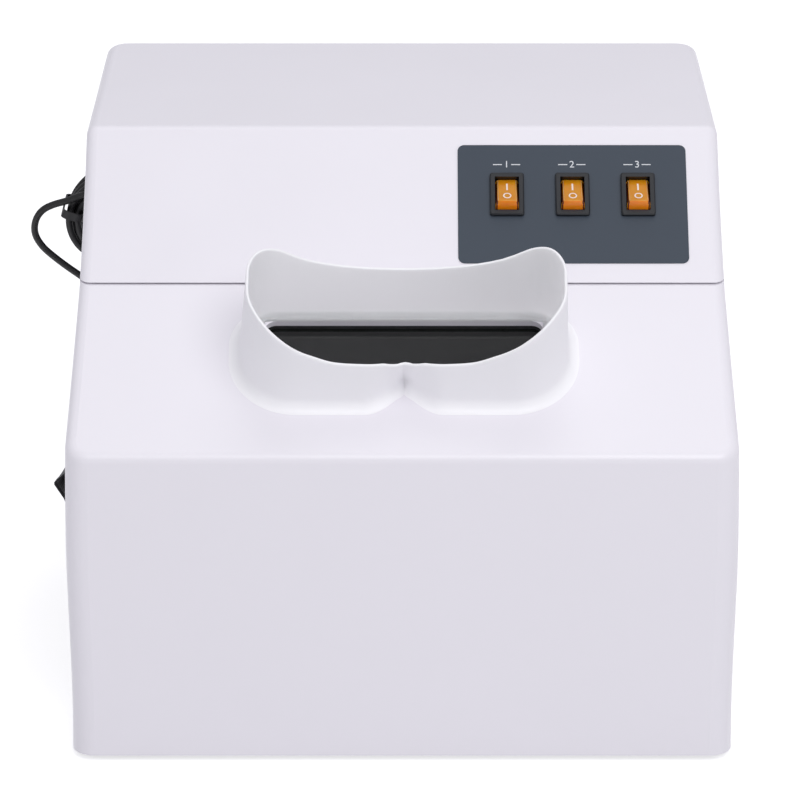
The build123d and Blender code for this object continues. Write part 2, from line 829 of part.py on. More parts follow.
# Mains lead. The ring turns anticlockwise as seen from the front, from its rear layer to its front one
ring_y = -front_y + gland_reach + gland_bend
ring_x = cord_x - ring_radius
ring_z = floor_z + ring_height
half_turns = 2 * ring_turns - (ring_start - ring_leave) / 180
ring_layers = ceil((half_turns + 1) / 3)


def ring_point(step):
    # Two half turns in each layer, then a half turn that climbs to the next.
    layer, part = divmod(step, 3)
    inward = layer % 2 == 0
    start = ring_radius if inward else ring_radius - ring_pitch
    way = -1 if inward else 1
    if part <= 2:
        radius = start + way * ring_pitch * part / 2
        depth = layer * layer_pitch
    else:
        radius = start + way * (ring_pitch + ring_dip * sin(pi * (part - 2)))
        depth = (layer + (1 - cos(pi * (part - 2))) / 2) * layer_pitch
    turn = radians(ring_start) + pi * step
    return Vector(ring_x + radius * cos(turn), ring_y - depth, ring_z + radius * sin(turn))


def ring_tangent(angle):
    return Vector(-sin(radians(angle)), 0, cos(radians(angle)))


def ring_direction(step):
    nudge = 0.02
    if step == 0:
        return ring_tangent(ring_start)
    if step == half_turns:
        return ring_tangent(ring_leave)
    return (ring_point(step + nudge) - ring_point(step - nudge)).normalized()


def biarc(start, start_way, end, end_way):
    # Two arcs that share a tangent where they meet.
    across = end - start
    ways = start_way + end_way
    spread = 2 * (1 - start_way.dot(end_way))
    along = across.dot(ways)
    reach = (-along + sqrt(along ** 2 + spread * across.dot(across))) / spread
    first = start + start_way * reach
    second = end - end_way * reach
    meet = (first + second) * 0.5
    way = (second - first).normalized()
    return [Edge.make_tangent_arc(start, start_way, meet), Edge.make_tangent_arc(meet, way, end)]


def tube(path, radius):
    start = path @ 0
    way = path % 0
    return sweep(Plane(origin=start, z_dir=way) * Circle(radius), path=path)


def ring_path():
    count = ceil(half_turns * 2)
    steps = [min(index / 2, half_turns) for index in range(count + 1)]
    places = [ring_point(step) for step in steps]
    ways = [ring_direction(step) for step in steps]
    straight = 2 * cord_radius
    edges = [Edge.make_line(places[0] - ways[0] * straight, places[0])]
    for index in range(count):
        edges += biarc(places[index], ways[index], places[index + 1], ways[index + 1])
    edges.append(Edge.make_line(places[-1], places[-1] + ways[-1] * straight))
    return Wire(edges)


def least_ring_gap(path):
    count = 1400
    apart = path.length / count
    skip = ceil(pi * ring_radius / apart)
    points = [path.position_at(index / count) for index in range(count + 1)]
    least = min((a - b).length for i, a in enumerate(points) for b in points[i + skip::2])
    return least - 2 * cord_radius


def corner_radii(route):
    radii = []
    for before, corner, after in zip(route, route[1:], route[2:]):
        first = Vector(corner) - Vector(before)
        second = Vector(after) - Vector(corner)
        half_turn = radians(first.get_angle(second)) / 2
        radii.append(0.45 * min(first.length, second.length) / tan(half_turn))
    return radii


def cord_tube(node, route):
    radii = corner_radii(route)
    path = FilletPolyline(*route, radius=radii)
    solid = tube(path, cord_radius)
    print(node, "length", round(path.length, 1), "radii", [round(r, 1) for r in radii])
    print(node, "volume share", round(solid.volume / (pi * cord_radius ** 2 * path.length), 4))
    return solid


def lead_route():
    # Down out of the gland, over to the left and round into the ring's rear layer.
    top = floor_z + gland_height - gland_bend - gland_straight
    end = ring_point(0) - ring_tangent(ring_start) * 2 * cord_radius
    before = end - ring_tangent(ring_start) * 7.6
    return [
        (cord_x, ring_y, top),
        (cord_x, ring_y, top - 7.4),
        (cord_x - 3.2, ring_y, top - 14.6),
        (cord_x - 8.9, ring_y, top - 19.4),
        (cord_x - 16.9, ring_y, top - 21.1),
        (before.X, ring_y, before.Z),
        (end.X, ring_y, end.Z),
    ]


# The tail's points from the ring's middle: to the right, to the back and up
tail_points = (
    (-20.0, -0.2, 12.4),
    (-26.4, -0.3, 10.8),
    (-32.2, -0.2, 8.0),
    (-35.8, 0.0, 2.5),
    (-36.4, 0.4, -4.6),
    (-32.8, 0.8, -11.3),
    (-27.4, 1.2, -16.5),
    (-20.8, 1.6, -22.1),
    (-13.4, 2.1, -27.7),
    (-6.0, 2.7, -34.3),
    (0.0, 3.3, -42.4),
    (3.6, 3.8, -52.2),
    (4.6, 4.1, -62.4),
    (4.6, 4.1, -72.0),
)


def tail_route():
    # Left out of the ring, over in a loop, then down to the right behind the cabinet to the plug.
    start = ring_point(half_turns) + ring_tangent(ring_leave) * 2 * cord_radius
    after = start + ring_tangent(ring_leave) * 6.4
    free = [(ring_x + x, start.Y + y, ring_z + z) for x, y, z in tail_points]
    return [(start.X, start.Y, start.Z), (after.X, after.Y, after.Z)] + free


def cord_gland():
    # A bushing through the back wall with a tapered elbow that turns the lead downwards.
    height = floor_z + gland_height
    back = -front_y
    flange = Pos(cord_x, back + 1, height) * Rot(90, 0, 0) * Cylinder(gland_radius * 1.7, 2)
    inner = Pos(cord_x, back - wall, height) * Rot(90, 0, 0) * Cylinder(gland_radius, wall * 2)
    rings = [(Vector(cord_x, back + 1.5, height), Vector(0, 1, 0), gland_radius)]
    for step in range(4):
        turn = radians(30 * step)
        sink = gland_bend * (1 - cos(turn))
        place = Vector(cord_x, back + gland_reach + gland_bend * sin(turn), height - sink)
        way = Vector(0, cos(turn), -sin(turn))
        rings.append((place, way, gland_radius - (gland_radius - cord_radius - 0.9) * (step + 1) / 5))
    end = rings[-1][0] - Vector(0, 0, gland_straight)
    rings.append((end, Vector(0, 0, -1), cord_radius + 0.9))
    discs = [Plane(place, (1, 0, 0), way) * Circle(radius) for place, way, radius in rings]
    return flange + inner + loft(discs)


def cord_gland_nut():
    # The nut inside the back wall that holds the bushing.
    nut = extrude(RegularPolygon(gland_radius * 1.6, 6), amount=3)
    nut -= Pos(0, 0, 1.5) * Cylinder(gland_radius + screw_gap, 8)
    return Pos(cord_x, -front_y - wall - 3.1, floor_z + gland_height) * Rot(-90, 0, 0) * nut


def cord_tie():
    # A band round all the turns at the upper left of the ring.
    bundle = cord_radius + tie_slack
    near = ring_radius - ring_pitch - bundle
    far = ring_radius + bundle
    depth = (ring_layers - 1) * layer_pitch + 2 * bundle
    middle = ((near + far) / 2, -(ring_layers - 1) * layer_pitch / 2, 0)
    outer = Box(far - near + 2 * tie_thickness, depth + 2 * tie_thickness, tie_width)
    outer = fillet(outer.edges().filter_by(Axis.Z), bundle + tie_thickness)
    inner = Box(far - near, depth, 2 * tie_width)
    inner = fillet(inner.edges().filter_by(Axis.Z), bundle)
    return Pos(ring_x, ring_y, ring_z) * Rot(0, -tie_angle, 0) * Pos(*middle) * (outer - inner)


def plug_top():
    x, y, z = tail_route()[-1]
    return Vector(x, y, z)


def plug_body():
    # A moulded two-blade plug that hangs on its lead, with a ribbed neck.
    top = plug_top()
    body = Pos(0, 0, -8 - plug_length / 2) * Box(plug_width, plug_depth, plug_length)
    body = fillet(body.edges().filter_by(Axis.Z), 4)
    body = fillet(body.edges().group_by(Axis.Z)[-1], 2.5)
    neck = Pos(0, 0, -4.5) * Cone(4.2, cord_radius + 0.8, 9)
    body += neck
    for side in (-1, 1):
        body -= Pos(side * plug_width * 0.29, 0, -8 - plug_length) * Box(1.7, 6.5, 8)
    return Pos(top.X, top.Y, top.Z) * body


def plug_pins():
    top = plug_top()
    low = top.Z - 8 - plug_length
    blades = []
    for side in (-1, 1):
        blade = Pos(top.X + side * plug_width * 0.29, top.Y, low + 3.9 - 10) * Box(1.6, 6.4, 20)
        blades.append(fillet(blade.edges().filter_by(Axis.X).group_by(Axis.Z)[0], 2))
    return blades


def report_axes():
    for name, x in zip(("1", "2", "3"), switch_places):
        place = (panel_plane.location * Pos(x, -switch_drop, label_thickness + pivot_height)).position
        print("rocker", name, "pivot", [round(v / 1000, 6) for v in place])
    spot = Pos(0, curtain_thickness + 0.05, band_low - fit_gap)
    place = (side_frame(-1).location * spot).position
    print("left curtain hinge", [round(v / 1000, 6) for v in place], "axis", side_frame(-1).x_dir)


save("main_housing", main_housing())
save("lamp_housing_cover", lamp_housing_cover())
save("base_plate", base_plate())
save("rubber_feet", *rubber_feet())
save("foot_screws", *foot_screws())
save("base_screws", *base_screws())
save("cover_screws", *cover_screws())
save("sample_plate", sample_plate())
save("viewing_hood", viewing_hood())
save("hood_screws", *hood_screws())
save("window_gasket", window_gasket())
save("uv_blocking_window", uv_window())
save("window_frame", window_frame())
save("window_frame_screws", *window_frame_screws())
save("control_panel_label", control_label())
for number, place in zip((1, 2, 3), switch_places):
    save(f"switch_housing_{number}", switch_housing(place))
    save(f"rocker_{number}", rocker(place))
save("switch_terminals", *switch_terminals())
save("lamp_chassis", lamp_chassis())
save("filter_short_wave", lamp_filter(lamp_places[0]))
save("light_diffuser", lamp_filter(lamp_places[1]))
save("filter_long_wave", lamp_filter(lamp_places[2]))
save("tube_short_wave", lamp_tube(lamp_places[0]))
save("tube_white_light", lamp_tube(lamp_places[1]))
save("tube_long_wave", lamp_tube(lamp_places[2]))
save("tube_end_caps", *tube_end_caps())
save("lamp_holders", *lamp_holders())
save("lamp_reflector", lamp_reflector())
save("ballasts", *ballasts())
save("terminal_block", terminal_block())
for name, side in (("left", -1), ("right", 1)):
    save(f"{name}_port_trim", on_side(side, port_trim()))
    save(f"{name}_curtain", curtain(side))
    save(f"{name}_curtain_band", curtain_band(side))
    save(f"{name}_clamp_bar", clamp_bar(side))
save("clamp_screws", *clamp_screws())
save("cord_gland", cord_gland())
save("cord_gland_nut", cord_gland_nut())
save("cord_lead", cord_tube("cord_lead", lead_route()))
ring = ring_path()
print("cord_ring length", round(ring.length, 1), "least gap", round(least_ring_gap(ring), 2))
save("cord_ring", tube(ring, cord_radius))
save("cord_tail", cord_tube("cord_tail", tail_route()))
save("cord_tie", cord_tie())
save("plug_body", plug_body())
save("plug_pins", *plug_pins())
report_axes()
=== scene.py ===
import bmesh
import bpy
import json
from math import ceil, cos, floor, hypot, pi, radians, sin, sqrt
from mathutils import Matrix, Vector


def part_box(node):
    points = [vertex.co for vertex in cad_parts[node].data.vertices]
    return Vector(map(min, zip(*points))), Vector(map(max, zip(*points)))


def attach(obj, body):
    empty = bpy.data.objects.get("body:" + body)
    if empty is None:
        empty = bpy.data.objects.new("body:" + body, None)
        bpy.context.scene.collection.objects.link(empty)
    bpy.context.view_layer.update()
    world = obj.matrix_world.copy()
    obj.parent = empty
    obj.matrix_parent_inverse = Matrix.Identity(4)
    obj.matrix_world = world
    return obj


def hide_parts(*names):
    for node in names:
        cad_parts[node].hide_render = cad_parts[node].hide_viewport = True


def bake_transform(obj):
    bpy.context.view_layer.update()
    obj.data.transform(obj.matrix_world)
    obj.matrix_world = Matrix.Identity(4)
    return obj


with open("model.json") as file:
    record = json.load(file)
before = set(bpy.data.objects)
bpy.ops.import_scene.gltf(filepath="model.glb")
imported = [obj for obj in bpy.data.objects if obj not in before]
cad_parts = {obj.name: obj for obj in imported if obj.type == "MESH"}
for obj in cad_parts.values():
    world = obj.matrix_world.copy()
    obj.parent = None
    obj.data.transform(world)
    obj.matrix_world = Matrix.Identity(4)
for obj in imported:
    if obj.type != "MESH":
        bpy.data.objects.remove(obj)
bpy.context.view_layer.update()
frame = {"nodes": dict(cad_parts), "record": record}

nodes = frame["nodes"]
scene = bpy.context.scene
mm = 0.001


def toLinear(hexText):
    # sRGB hex to the linear values that Blender works in
    shares = [int(hexText[i:i + 2], 16) / 255 for i in (1, 3, 5)]
    return [s / 12.92 if s <= 0.04045 else ((s + 0.055) / 1.055) ** 2.4 for s in shares] + [1.0]


def addNode(tree, kind, settings=None, inputs=None):
    # one shader node, its settings, and its inputs: a value, or the output that feeds it
    node = tree.nodes.new("ShaderNode" + kind)
    for name, value in (settings or {}).items():
        setattr(node, name, value)
    for name, value in (inputs or {}).items():
        if isinstance(value, bpy.types.NodeSocket):
            tree.links.new(value, node.inputs[name])
        else:
            node.inputs[name].default_value = value
    return node


def startMaterial(name):
    # a new material, its node tree, and the socket that gives each point's place in metres
    material = bpy.data.materials.new(name)
    material.use_nodes = True
    tree = material.node_tree
    tree.nodes.clear()
    return material, tree, addNode(tree, "TexCoord").outputs["Object"]


def makePiece(name, points, faces, surfaces, body, faceSurface=None):
    # points in millimetres; faceSurface gives each face's material number
    mesh = bpy.data.meshes.new(name)
    mesh.from_pydata([Vector(p) * mm for p in points], [], faces)
    piece = bpy.data.objects.new(name, mesh)
    scene.collection.objects.link(piece)
    for surface in surfaces:
        mesh.materials.append(surface)
    for polygon in mesh.polygons:
        polygon.use_smooth = True
        if faceSurface:
            polygon.material_index = faceSurface[polygon.index]
    if body:
        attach(piece, body)
    return piece


def bandFaces(rings, count, ends=False):
    # quads that join each closed ring of points to the next, and a face over each end
    faces = [(k * count + i, k * count + (i + 1) % count, (k + 1) * count + (i + 1) % count, (k + 1) * count + i)
             for k in range(rings - 1) for i in range(count)]
    if ends:
        faces += [tuple(range(count))[::-1], tuple(range((rings - 1) * count, rings * count))]
    return faces


def ridgeFaces(base):
    # a small raised bar: four rows of four points, closed at both ends
    rows = [(a, a + 1, a + 5, a + 4) for k in range(3) for a in range(base + 4 * k, base + 4 * k + 3)]
    return rows + [(base, base + 1, base + 2, base + 3), (base + 12, base + 13, base + 14, base + 15)]


def turnOutward(piece, joinWithin=None):
    # every face looks outward, once points that fall together are joined
    tool = bmesh.new()
    tool.from_mesh(piece.data)
    if joinWithin:
        bmesh.ops.remove_doubles(tool, verts=tool.verts, dist=joinWithin)
    bmesh.ops.recalc_face_normals(tool, faces=tool.faces)
    tool.to_mesh(piece.data)
    tool.free()


def between(a, b, share):
    return a[0] + (b[0] - a[0]) * share, a[1] + (b[1] - a[1]) * share


def smoothThrough(knots, x):
    # a soft curve through (x, y) knots, flat at both ends
    if x <= knots[0][0]:
        return knots[0][1]
    if x >= knots[-1][0]:
        return knots[-1][1]
    i = max(k for k in range(len(knots) - 1) if knots[k][0] <= x)
    (x0, y0), (x1, y1) = knots[i], knots[i + 1]
    before = knots[i - 1] if i else (2 * x0 - x1, y0)
    after = knots[i + 2] if i + 2 < len(knots) else (2 * x1 - x0, y1)
    way0 = (y1 - before[1]) / (x1 - before[0]) * (x1 - x0)
    way1 = (after[1] - y0) / (after[0] - x0) * (x1 - x0)
    t = (x - x0) / (x1 - x0)
    return ((2 * t ** 3 - 3 * t ** 2 + 1) * y0 + (t ** 3 - 2 * t ** 2 + t) * way0
            + (3 * t ** 2 - 2 * t ** 3) * y1 + (t ** 3 - t ** 2) * way1)


# Camera, at the photograph's height and distance
cameraView = {"place": (-0.0009, -1.725, 0.8115), "tilt": 68.0, "lens": 184.7, "sensor": 36.0, "seesTo": 20.0}
camera = bpy.data.objects.new("camera", bpy.data.cameras.new("camera"))
camera.location = cameraView["place"]
camera.rotation_euler = (radians(cameraView["tilt"]), 0, 0)
camera.data.lens = cameraView["lens"]
camera.data.sensor_width = cameraView["sensor"]
camera.data.clip_end = cameraView["seesTo"]
scene.collection.objects.link(camera)
scene.camera = camera
print("camera placed")

# Mains lead: one piece from the gland, round the ring and down to the plug
mainsLead = {
    "radius": 1.7,
    "length": 1.075,
    "glandX": -120.7,
    "ringMiddle": (-141.0, 160.2, 148.5),
    "ringRadius": 20.3,
    "ringPitch": 3.9,
    "layerPitch": 3.85,
    "dip": 1.1,
    "turns": 8,
    "startAngle": 135.0,
    "leaveAngle": 105.0,
    "pointsPerHalfTurn": 12,
    # down from the gland: across from it, and up from the ring's middle
    "fromGland": ((0, 46.5), (0, 39.1), (-3.2, 31.9), (-8.9, 27.1), (-16.9, 25.4)),
    "straightIn": 7.6,
    "straightOut": 6.4,
    # the loop beside the ring and the end that hangs to the plug: across, back and up from the ring
    "loop": (
        (-20.0, -0.2, 12.4), (-26.4, -0.3, 10.8), (-32.2, -0.2, 8.0), (-35.8, 0.0, 2.5), (-36.4, 0.4, -4.6),
        (-32.8, 0.8, -11.3), (-27.4, 1.2, -16.5), (-20.8, 1.6, -22.1), (-13.4, 2.1, -27.7), (-6.0, 2.7, -34.3),
        (0.0, 3.3, -42.4), (3.6, 3.8, -52.2), (4.6, 4.1, -62.4), (4.6, 4.1, -72.0)),
}


def ringPoint(step):
    # two half turns in each layer, then a half turn that climbs to the next
    s = mainsLead
    layer, part = divmod(step, 3)
    inward = layer % 2 == 0
    start = s["ringRadius"] if inward else s["ringRadius"] - s["ringPitch"]
    way = -1 if inward else 1
    if part <= 2:
        radius = start + way * s["ringPitch"] * part / 2
        depth = layer * s["layerPitch"]
    else:
        radius = start + way * (s["ringPitch"] + s["dip"] * sin(pi * (part - 2)))
        depth = (layer + (1 - cos(pi * (part - 2))) / 2) * s["layerPitch"]
    turn = radians(s["startAngle"]) + pi * step
    x, y, z = s["ringMiddle"]
    return Vector((x + radius * cos(turn), y - depth, z + radius * sin(turn)))


def ringTangent(angle):
    return Vector((-sin(radians(angle)), 0, cos(radians(angle))))


def leadRoute():
    # the same points as the solid lead follows
    s = mainsLead
    x, y, z = s["ringMiddle"]
    halfTurns = 2 * s["turns"] - (s["startAngle"] - s["leaveAngle"]) / 180
    straight = 2 * s["radius"]
    joinIn = ringPoint(0) - ringTangent(s["startAngle"]) * straight
    route = [Vector((s["glandX"] + across, y, z + up)) for across, up in s["fromGland"]]
    route += [joinIn - ringTangent(s["startAngle"]) * s["straightIn"], joinIn]
    count = ceil(halfTurns * s["pointsPerHalfTurn"])
    route += [ringPoint(halfTurns * i / count) for i in range(count + 1)]
    leave = ringTangent(s["leaveAngle"])
    away = route[-1] + leave * straight
    route += [away, away + leave * s["straightOut"]]
    route += [Vector((x + across, away.y + back, z + up)) for across, back, up in s["loop"]]
    return [p * mm for p in route]


# In every material a pattern's scale is one over its size in millimetres
jacketFinish = {
    "low": "#060607", "high": "#131315", "rough": (0.34, 0.56), "grime": 6.0, "grain": 0.5, "depth": 0.03,
}


def pvcJacket(s):
    # PVC, extruded over two cores: soft black with a slight sheen, a little grime and a fine skin
    material, tree, place = startMaterial("extrudedPvcBlack")
    grime = addNode(tree, "TexNoise", inputs={"Vector": place, "Scale": 1 / (s["grime"] * mm), "Detail": 3.0})
    skin = addNode(tree, "TexNoise", inputs={"Vector": place, "Scale": 1 / (s["grain"] * mm), "Detail": 2.0})
    colour = addNode(tree, "Mix", {"data_type": "RGBA"}, {
        0: grime.outputs[0], 6: toLinear(s["low"]), 7: toLinear(s["high"])})
    gloss = addNode(tree, "MapRange", inputs={
        "Value": grime.outputs[0], "To Min": s["rough"][0], "To Max": s["rough"][1]})
    bump = addNode(tree, "Bump", inputs={
        "Height": skin.outputs[0], "Distance": s["depth"] * mm, "Strength": 0.5})
    shader = addNode(tree, "BsdfPrincipled", inputs={
        "Base Color": colour.outputs[2], "Roughness": gloss.outputs[0], "IOR": 1.53, "Normal": bump.outputs[0]})
    addNode(tree, "OutputMaterial", inputs={"Surface": shader.outputs[0]})
    return material


jacket = pvcJacket(jacketFinish)
leadCurve = bpy.data.curves.new("mains_lead", "CURVE")
leadCurve.dimensions = "3D"
leadCurve.bevel_depth = mainsLead["radius"] * mm
leadCurve.bevel_resolution = 5
leadCurve.resolution_u = 4
leadCurve.use_fill_caps = True
route = leadRoute()
spline = leadCurve.splines.new("NURBS")
spline.points.add(len(route) - 1)
for target, place in zip(spline.points, route):
    target.co = (*place, 1)
spline.order_u = 3
spline.use_endpoint_u = True
lead = bpy.data.objects.new("mains_lead", leadCurve)
scene.collection.objects.link(lead)
leadCurve.materials.append(jacket)
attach(lead, "cabinet")
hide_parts("cord_lead", "cord_ring", "cord_tail")
print("mains lead laid")


# The other materials, one function for each way of making
def mouldedPlastic(name, s):
    # thermoplastic from a polished mould: an even colour, a broad soft gloss, a skin that is never quite flat
    material, tree, place = startMaterial(name)
    cloud = addNode(tree, "TexNoise", inputs={"Vector": place, "Scale": 1 / (45 * mm), "Detail": 2.0})
    grain = addNode(tree, "TexNoise", inputs={"Vector": place, "Scale": 1 / (s["grain"] * mm), "Detail": 2.0})
    sink = addNode(tree, "TexNoise", inputs={"Vector": place, "Scale": 1 / (70 * mm), "Detail": 1.0})
    colour = addNode(tree, "Mix", {"data_type": "RGBA"}, {
        0: cloud.outputs[0], 6: toLinear(s["low"]), 7: toLinear(s["high"])})
    gloss = addNode(tree, "MapRange", inputs={
        "Value": cloud.outputs[0], "From Min": 0.3, "From Max": 0.7,
        "To Min": s["rough"], "To Max": s["rough"] + 0.07})
    wave = addNode(tree, "Bump", inputs={
        "Height": sink.outputs[0], "Distance": s.get("sink", 0.0) * mm, "Strength": 1.0})
    skin = addNode(tree, "Bump", inputs={
        "Height": grain.outputs[0], "Distance": s["depth"] * mm, "Strength": 0.4, "Normal": wave.outputs[0]})
    shader = addNode(tree, "BsdfPrincipled", inputs={
        "Base Color": colour.outputs[2], "Roughness": gloss.outputs[0], "IOR": s.get("ior", 1.53),
        "Subsurface Weight": s.get("scatter", 0.0), "Subsurface Scale": s.get("reach", 4.0) * mm,
        "Subsurface Radius": (1.0, 0.95, 0.95), "Normal": skin.outputs[0]})
    addNode(tree, "OutputMaterial", inputs={"Surface": shader.outputs[0]})
    return material


def rolledMetal(name, s):
    # sheet or wire drawn one way: fine lines along it, with the light spread across them
    material, tree, place = startMaterial(name)
    stretch = [(0.02 if i == s["along"] else 1) / mm for i in range(3)]  # lines run 50 times their width
    drawn = addNode(tree, "Mapping", inputs={"Vector": place, "Scale": stretch})
    lines = addNode(tree, "TexNoise", inputs={
        "Vector": drawn.outputs[0], "Scale": 1 / s["line"], "Detail": 4.0, "Roughness": 0.7})
    cloud = addNode(tree, "TexNoise", inputs={"Vector": place, "Scale": 1 / (18 * mm), "Detail": 3.0})
    colour = addNode(tree, "Mix", {"data_type": "RGBA"}, {
        0: lines.outputs[0], 6: toLinear(s["low"]), 7: toLinear(s["high"])})
    gloss = addNode(tree, "MapRange", inputs={
        "Value": cloud.outputs[0], "From Min": 0.3, "From Max": 0.7,
        "To Min": s["rough"], "To Max": s["rough"] + 0.12})
    bump = addNode(tree, "Bump", inputs={"Height": lines.outputs[0], "Distance": 0.02 * mm, "Strength": 0.5})
    shader = addNode(tree, "BsdfPrincipled", inputs={
        "Base Color": colour.outputs[2], "Metallic": 1.0, "Roughness": gloss.outputs[0],
        "Normal": bump.outputs[0]})
    addNode(tree, "OutputMaterial", inputs={"Surface": shader.outputs[0]})
    return material


def floatGlass(name, s):
    # glass coloured through: one clear reflection over what lies behind, and a little dust in patches
    material, tree, place = startMaterial(name)
    dust = addNode(tree, "TexNoise", inputs={
        "Vector": place, "Scale": 1 / (9 * mm), "Detail": 6.0, "Roughness": 0.65})
    colour = addNode(tree, "Mix", {"data_type": "RGBA"}, {
        0: dust.outputs[0], 6: toLinear(s["low"]), 7: toLinear(s["high"])})
    gloss = addNode(tree, "MapRange", inputs={
        "Value": dust.outputs[0], "From Min": 0.3, "From Max": 0.7,
        "To Min": s["rough"], "To Max": s["rough"] + 0.06})
    shader = addNode(tree, "BsdfPrincipled", inputs={
        "Base Color": colour.outputs[2], "Roughness": gloss.outputs[0], "IOR": 1.52,
        "Transmission Weight": s["clear"]})
    addNode(tree, "OutputMaterial", inputs={"Surface": shader.outputs[0]})
    return material


def vulcanisedRubber(s):
    # rubber pressed in a hot mould: dull, faintly dusty black with a fine sandy skin
    material, tree, place = startMaterial("vulcanisedRubber")
    dust = addNode(tree, "TexNoise", inputs={
        "Vector": place, "Scale": 1 / (s["dust"] * mm), "Detail": 5.0, "Roughness": 0.7})
    sand = addNode(tree, "TexNoise", inputs={"Vector": place, "Scale": 1 / (s["grain"] * mm), "Detail": 3.0})
    colour = addNode(tree, "Mix", {"data_type": "RGBA"}, {
        0: dust.outputs[0], 6: toLinear(s["low"]), 7: toLinear(s["high"])})
    gloss = addNode(tree, "MapRange", inputs={
        "Value": dust.outputs[0], "To Min": s["rough"][0], "To Max": s["rough"][1]})
    bump = addNode(tree, "Bump", inputs={
        "Height": sand.outputs[0], "Distance": s["depth"] * mm, "Strength": 0.6})
    shader = addNode(tree, "BsdfPrincipled", inputs={
        "Base Color": colour.outputs[2], "Roughness": gloss.outputs[0], "IOR": 1.52, "Normal": bump.outputs[0]})
    addNode(tree, "OutputMaterial", inputs={"Surface": shader.outputs[0]})
    return material


def wovenPolyester(s):
    # plain-woven blackout cloth: matt black, an even weave, a low sheen
    threadScale = 0.314 / (s["thread"] * mm)  # a wave texture's band is 0.314 wide at a scale of 1
    material, tree, place = startMaterial("wovenPolyesterBlack")
    warp = addNode(tree, "TexWave", {"bands_direction": "Y"}, {"Vector": place, "Scale": threadScale})
    weft = addNode(tree, "TexWave", {"bands_direction": "Z"}, {"Vector": place, "Scale": threadScale})
    weave = addNode(tree, "Math", {"operation": "MULTIPLY"}, {0: warp.outputs[1], 1: weft.outputs[1]})
    fuzz = addNode(tree, "TexNoise", inputs={
        "Vector": place, "Scale": 1 / (s["fuzz"] * mm), "Detail": 5.0, "Roughness": 0.7})
    colour = addNode(tree, "Mix", {"data_type": "RGBA"}, {
        0: fuzz.outputs[0], 6: toLinear(s["low"]), 7: toLinear(s["high"])})
    bump = addNode(tree, "Bump", inputs={
        "Height": weave.outputs[0], "Distance": s["depth"] * mm, "Strength": 0.7})
    shader = addNode(tree, "BsdfPrincipled", inputs={
        "Base Color": colour.outputs[2], "Roughness": s["rough"], "IOR": 1.5, "Sheen Weight": s["sheen"],
        "Sheen Roughness": 0.4, "Normal": bump.outputs[0]})
    addNode(tree, "OutputMaterial", inputs={"Surface": shader.outputs[0]})
    return material


def castAmber(name, low, high, glow):
    # clear amber acrylic, moulded: light goes in and comes out; its copies differ by painted light, a paler one
    # for a painted highlight on the bevels, a deeper orange one for light painted through the thick end walls, a
    # dark one for painted shade at the sides
    material, tree, place = startMaterial(name)
    flow = addNode(tree, "TexNoise", inputs={"Vector": place, "Scale": 1 / (4 * mm), "Detail": 2.0})
    colour = addNode(tree, "Mix", {"data_type": "RGBA"}, {
        0: flow.outputs[0], 6: toLinear(low), 7: toLinear(high)})
    gloss = addNode(tree, "MapRange", inputs={"Value": flow.outputs[0], "To Min": 0.16, "To Max": 0.28})
    shader = addNode(tree, "BsdfPrincipled", inputs={
        "Base Color": colour.outputs[2], "Roughness": gloss.outputs[0], "IOR": 1.49,
        "Subsurface Weight": glow, "Subsurface Scale": 3 * mm, "Subsurface Radius": (1.0, 0.4, 0.1)})
    addNode(tree, "OutputMaterial", inputs={"Surface": shader.outputs[0]})
    return material


def printedFilm(s):
    # polyester panel film, printed on its back: slate under a fine velvet texture
    material, tree, place = startMaterial("printedPolyesterFilm")
    cloud = addNode(tree, "TexNoise", inputs={"Vector": place, "Scale": 1 / (s["cloud"] * mm), "Detail": 2.0})
    velvet = addNode(tree, "TexNoise", inputs={
        "Vector": place, "Scale": 1 / (s["grain"] * mm), "Detail": 2.0})
    colour = addNode(tree, "Mix", {"data_type": "RGBA"}, {
        0: cloud.outputs[0], 6: toLinear(s["low"]), 7: toLinear(s["high"])})
    gloss = addNode(tree, "MapRange", inputs={
        "Value": velvet.outputs[0], "To Min": s["rough"][0], "To Max": s["rough"][1]})
    bump = addNode(tree, "Bump", inputs={
        "Height": velvet.outputs[0], "Distance": s["depth"] * mm, "Strength": 0.4})
    shader = addNode(tree, "BsdfPrincipled", inputs={
        "Base Color": colour.outputs[2], "Roughness": gloss.outputs[0], "IOR": 1.57, "Normal": bump.outputs[0]})
    addNode(tree, "OutputMaterial", inputs={"Surface": shader.outputs[0]})
    return material


def screenInk(name, low, high):
    # screen-printed ink: matt, a little uneven where the mesh laid it down
    material, tree, place = startMaterial(name)
    patch = addNode(tree, "TexNoise", inputs={"Vector": place, "Scale": 1 / (0.5 * mm), "Detail": 3.0})
    colour = addNode(tree, "Mix", {"data_type": "RGBA"}, {
        0: patch.outputs[0], 6: toLinear(low), 7: toLinear(high)})
    gloss = addNode(tree, "MapRange", inputs={"Value": patch.outputs[0], "To Min": 0.5, "To Max": 0.65})
    shader = addNode(tree, "BsdfPrincipled", inputs={
        "Base Color": colour.outputs[2], "Roughness": gloss.outputs[0], "IOR": 1.5})
    addNode(tree, "OutputMaterial", inputs={"Surface": shader.outputs[0]})
    return material


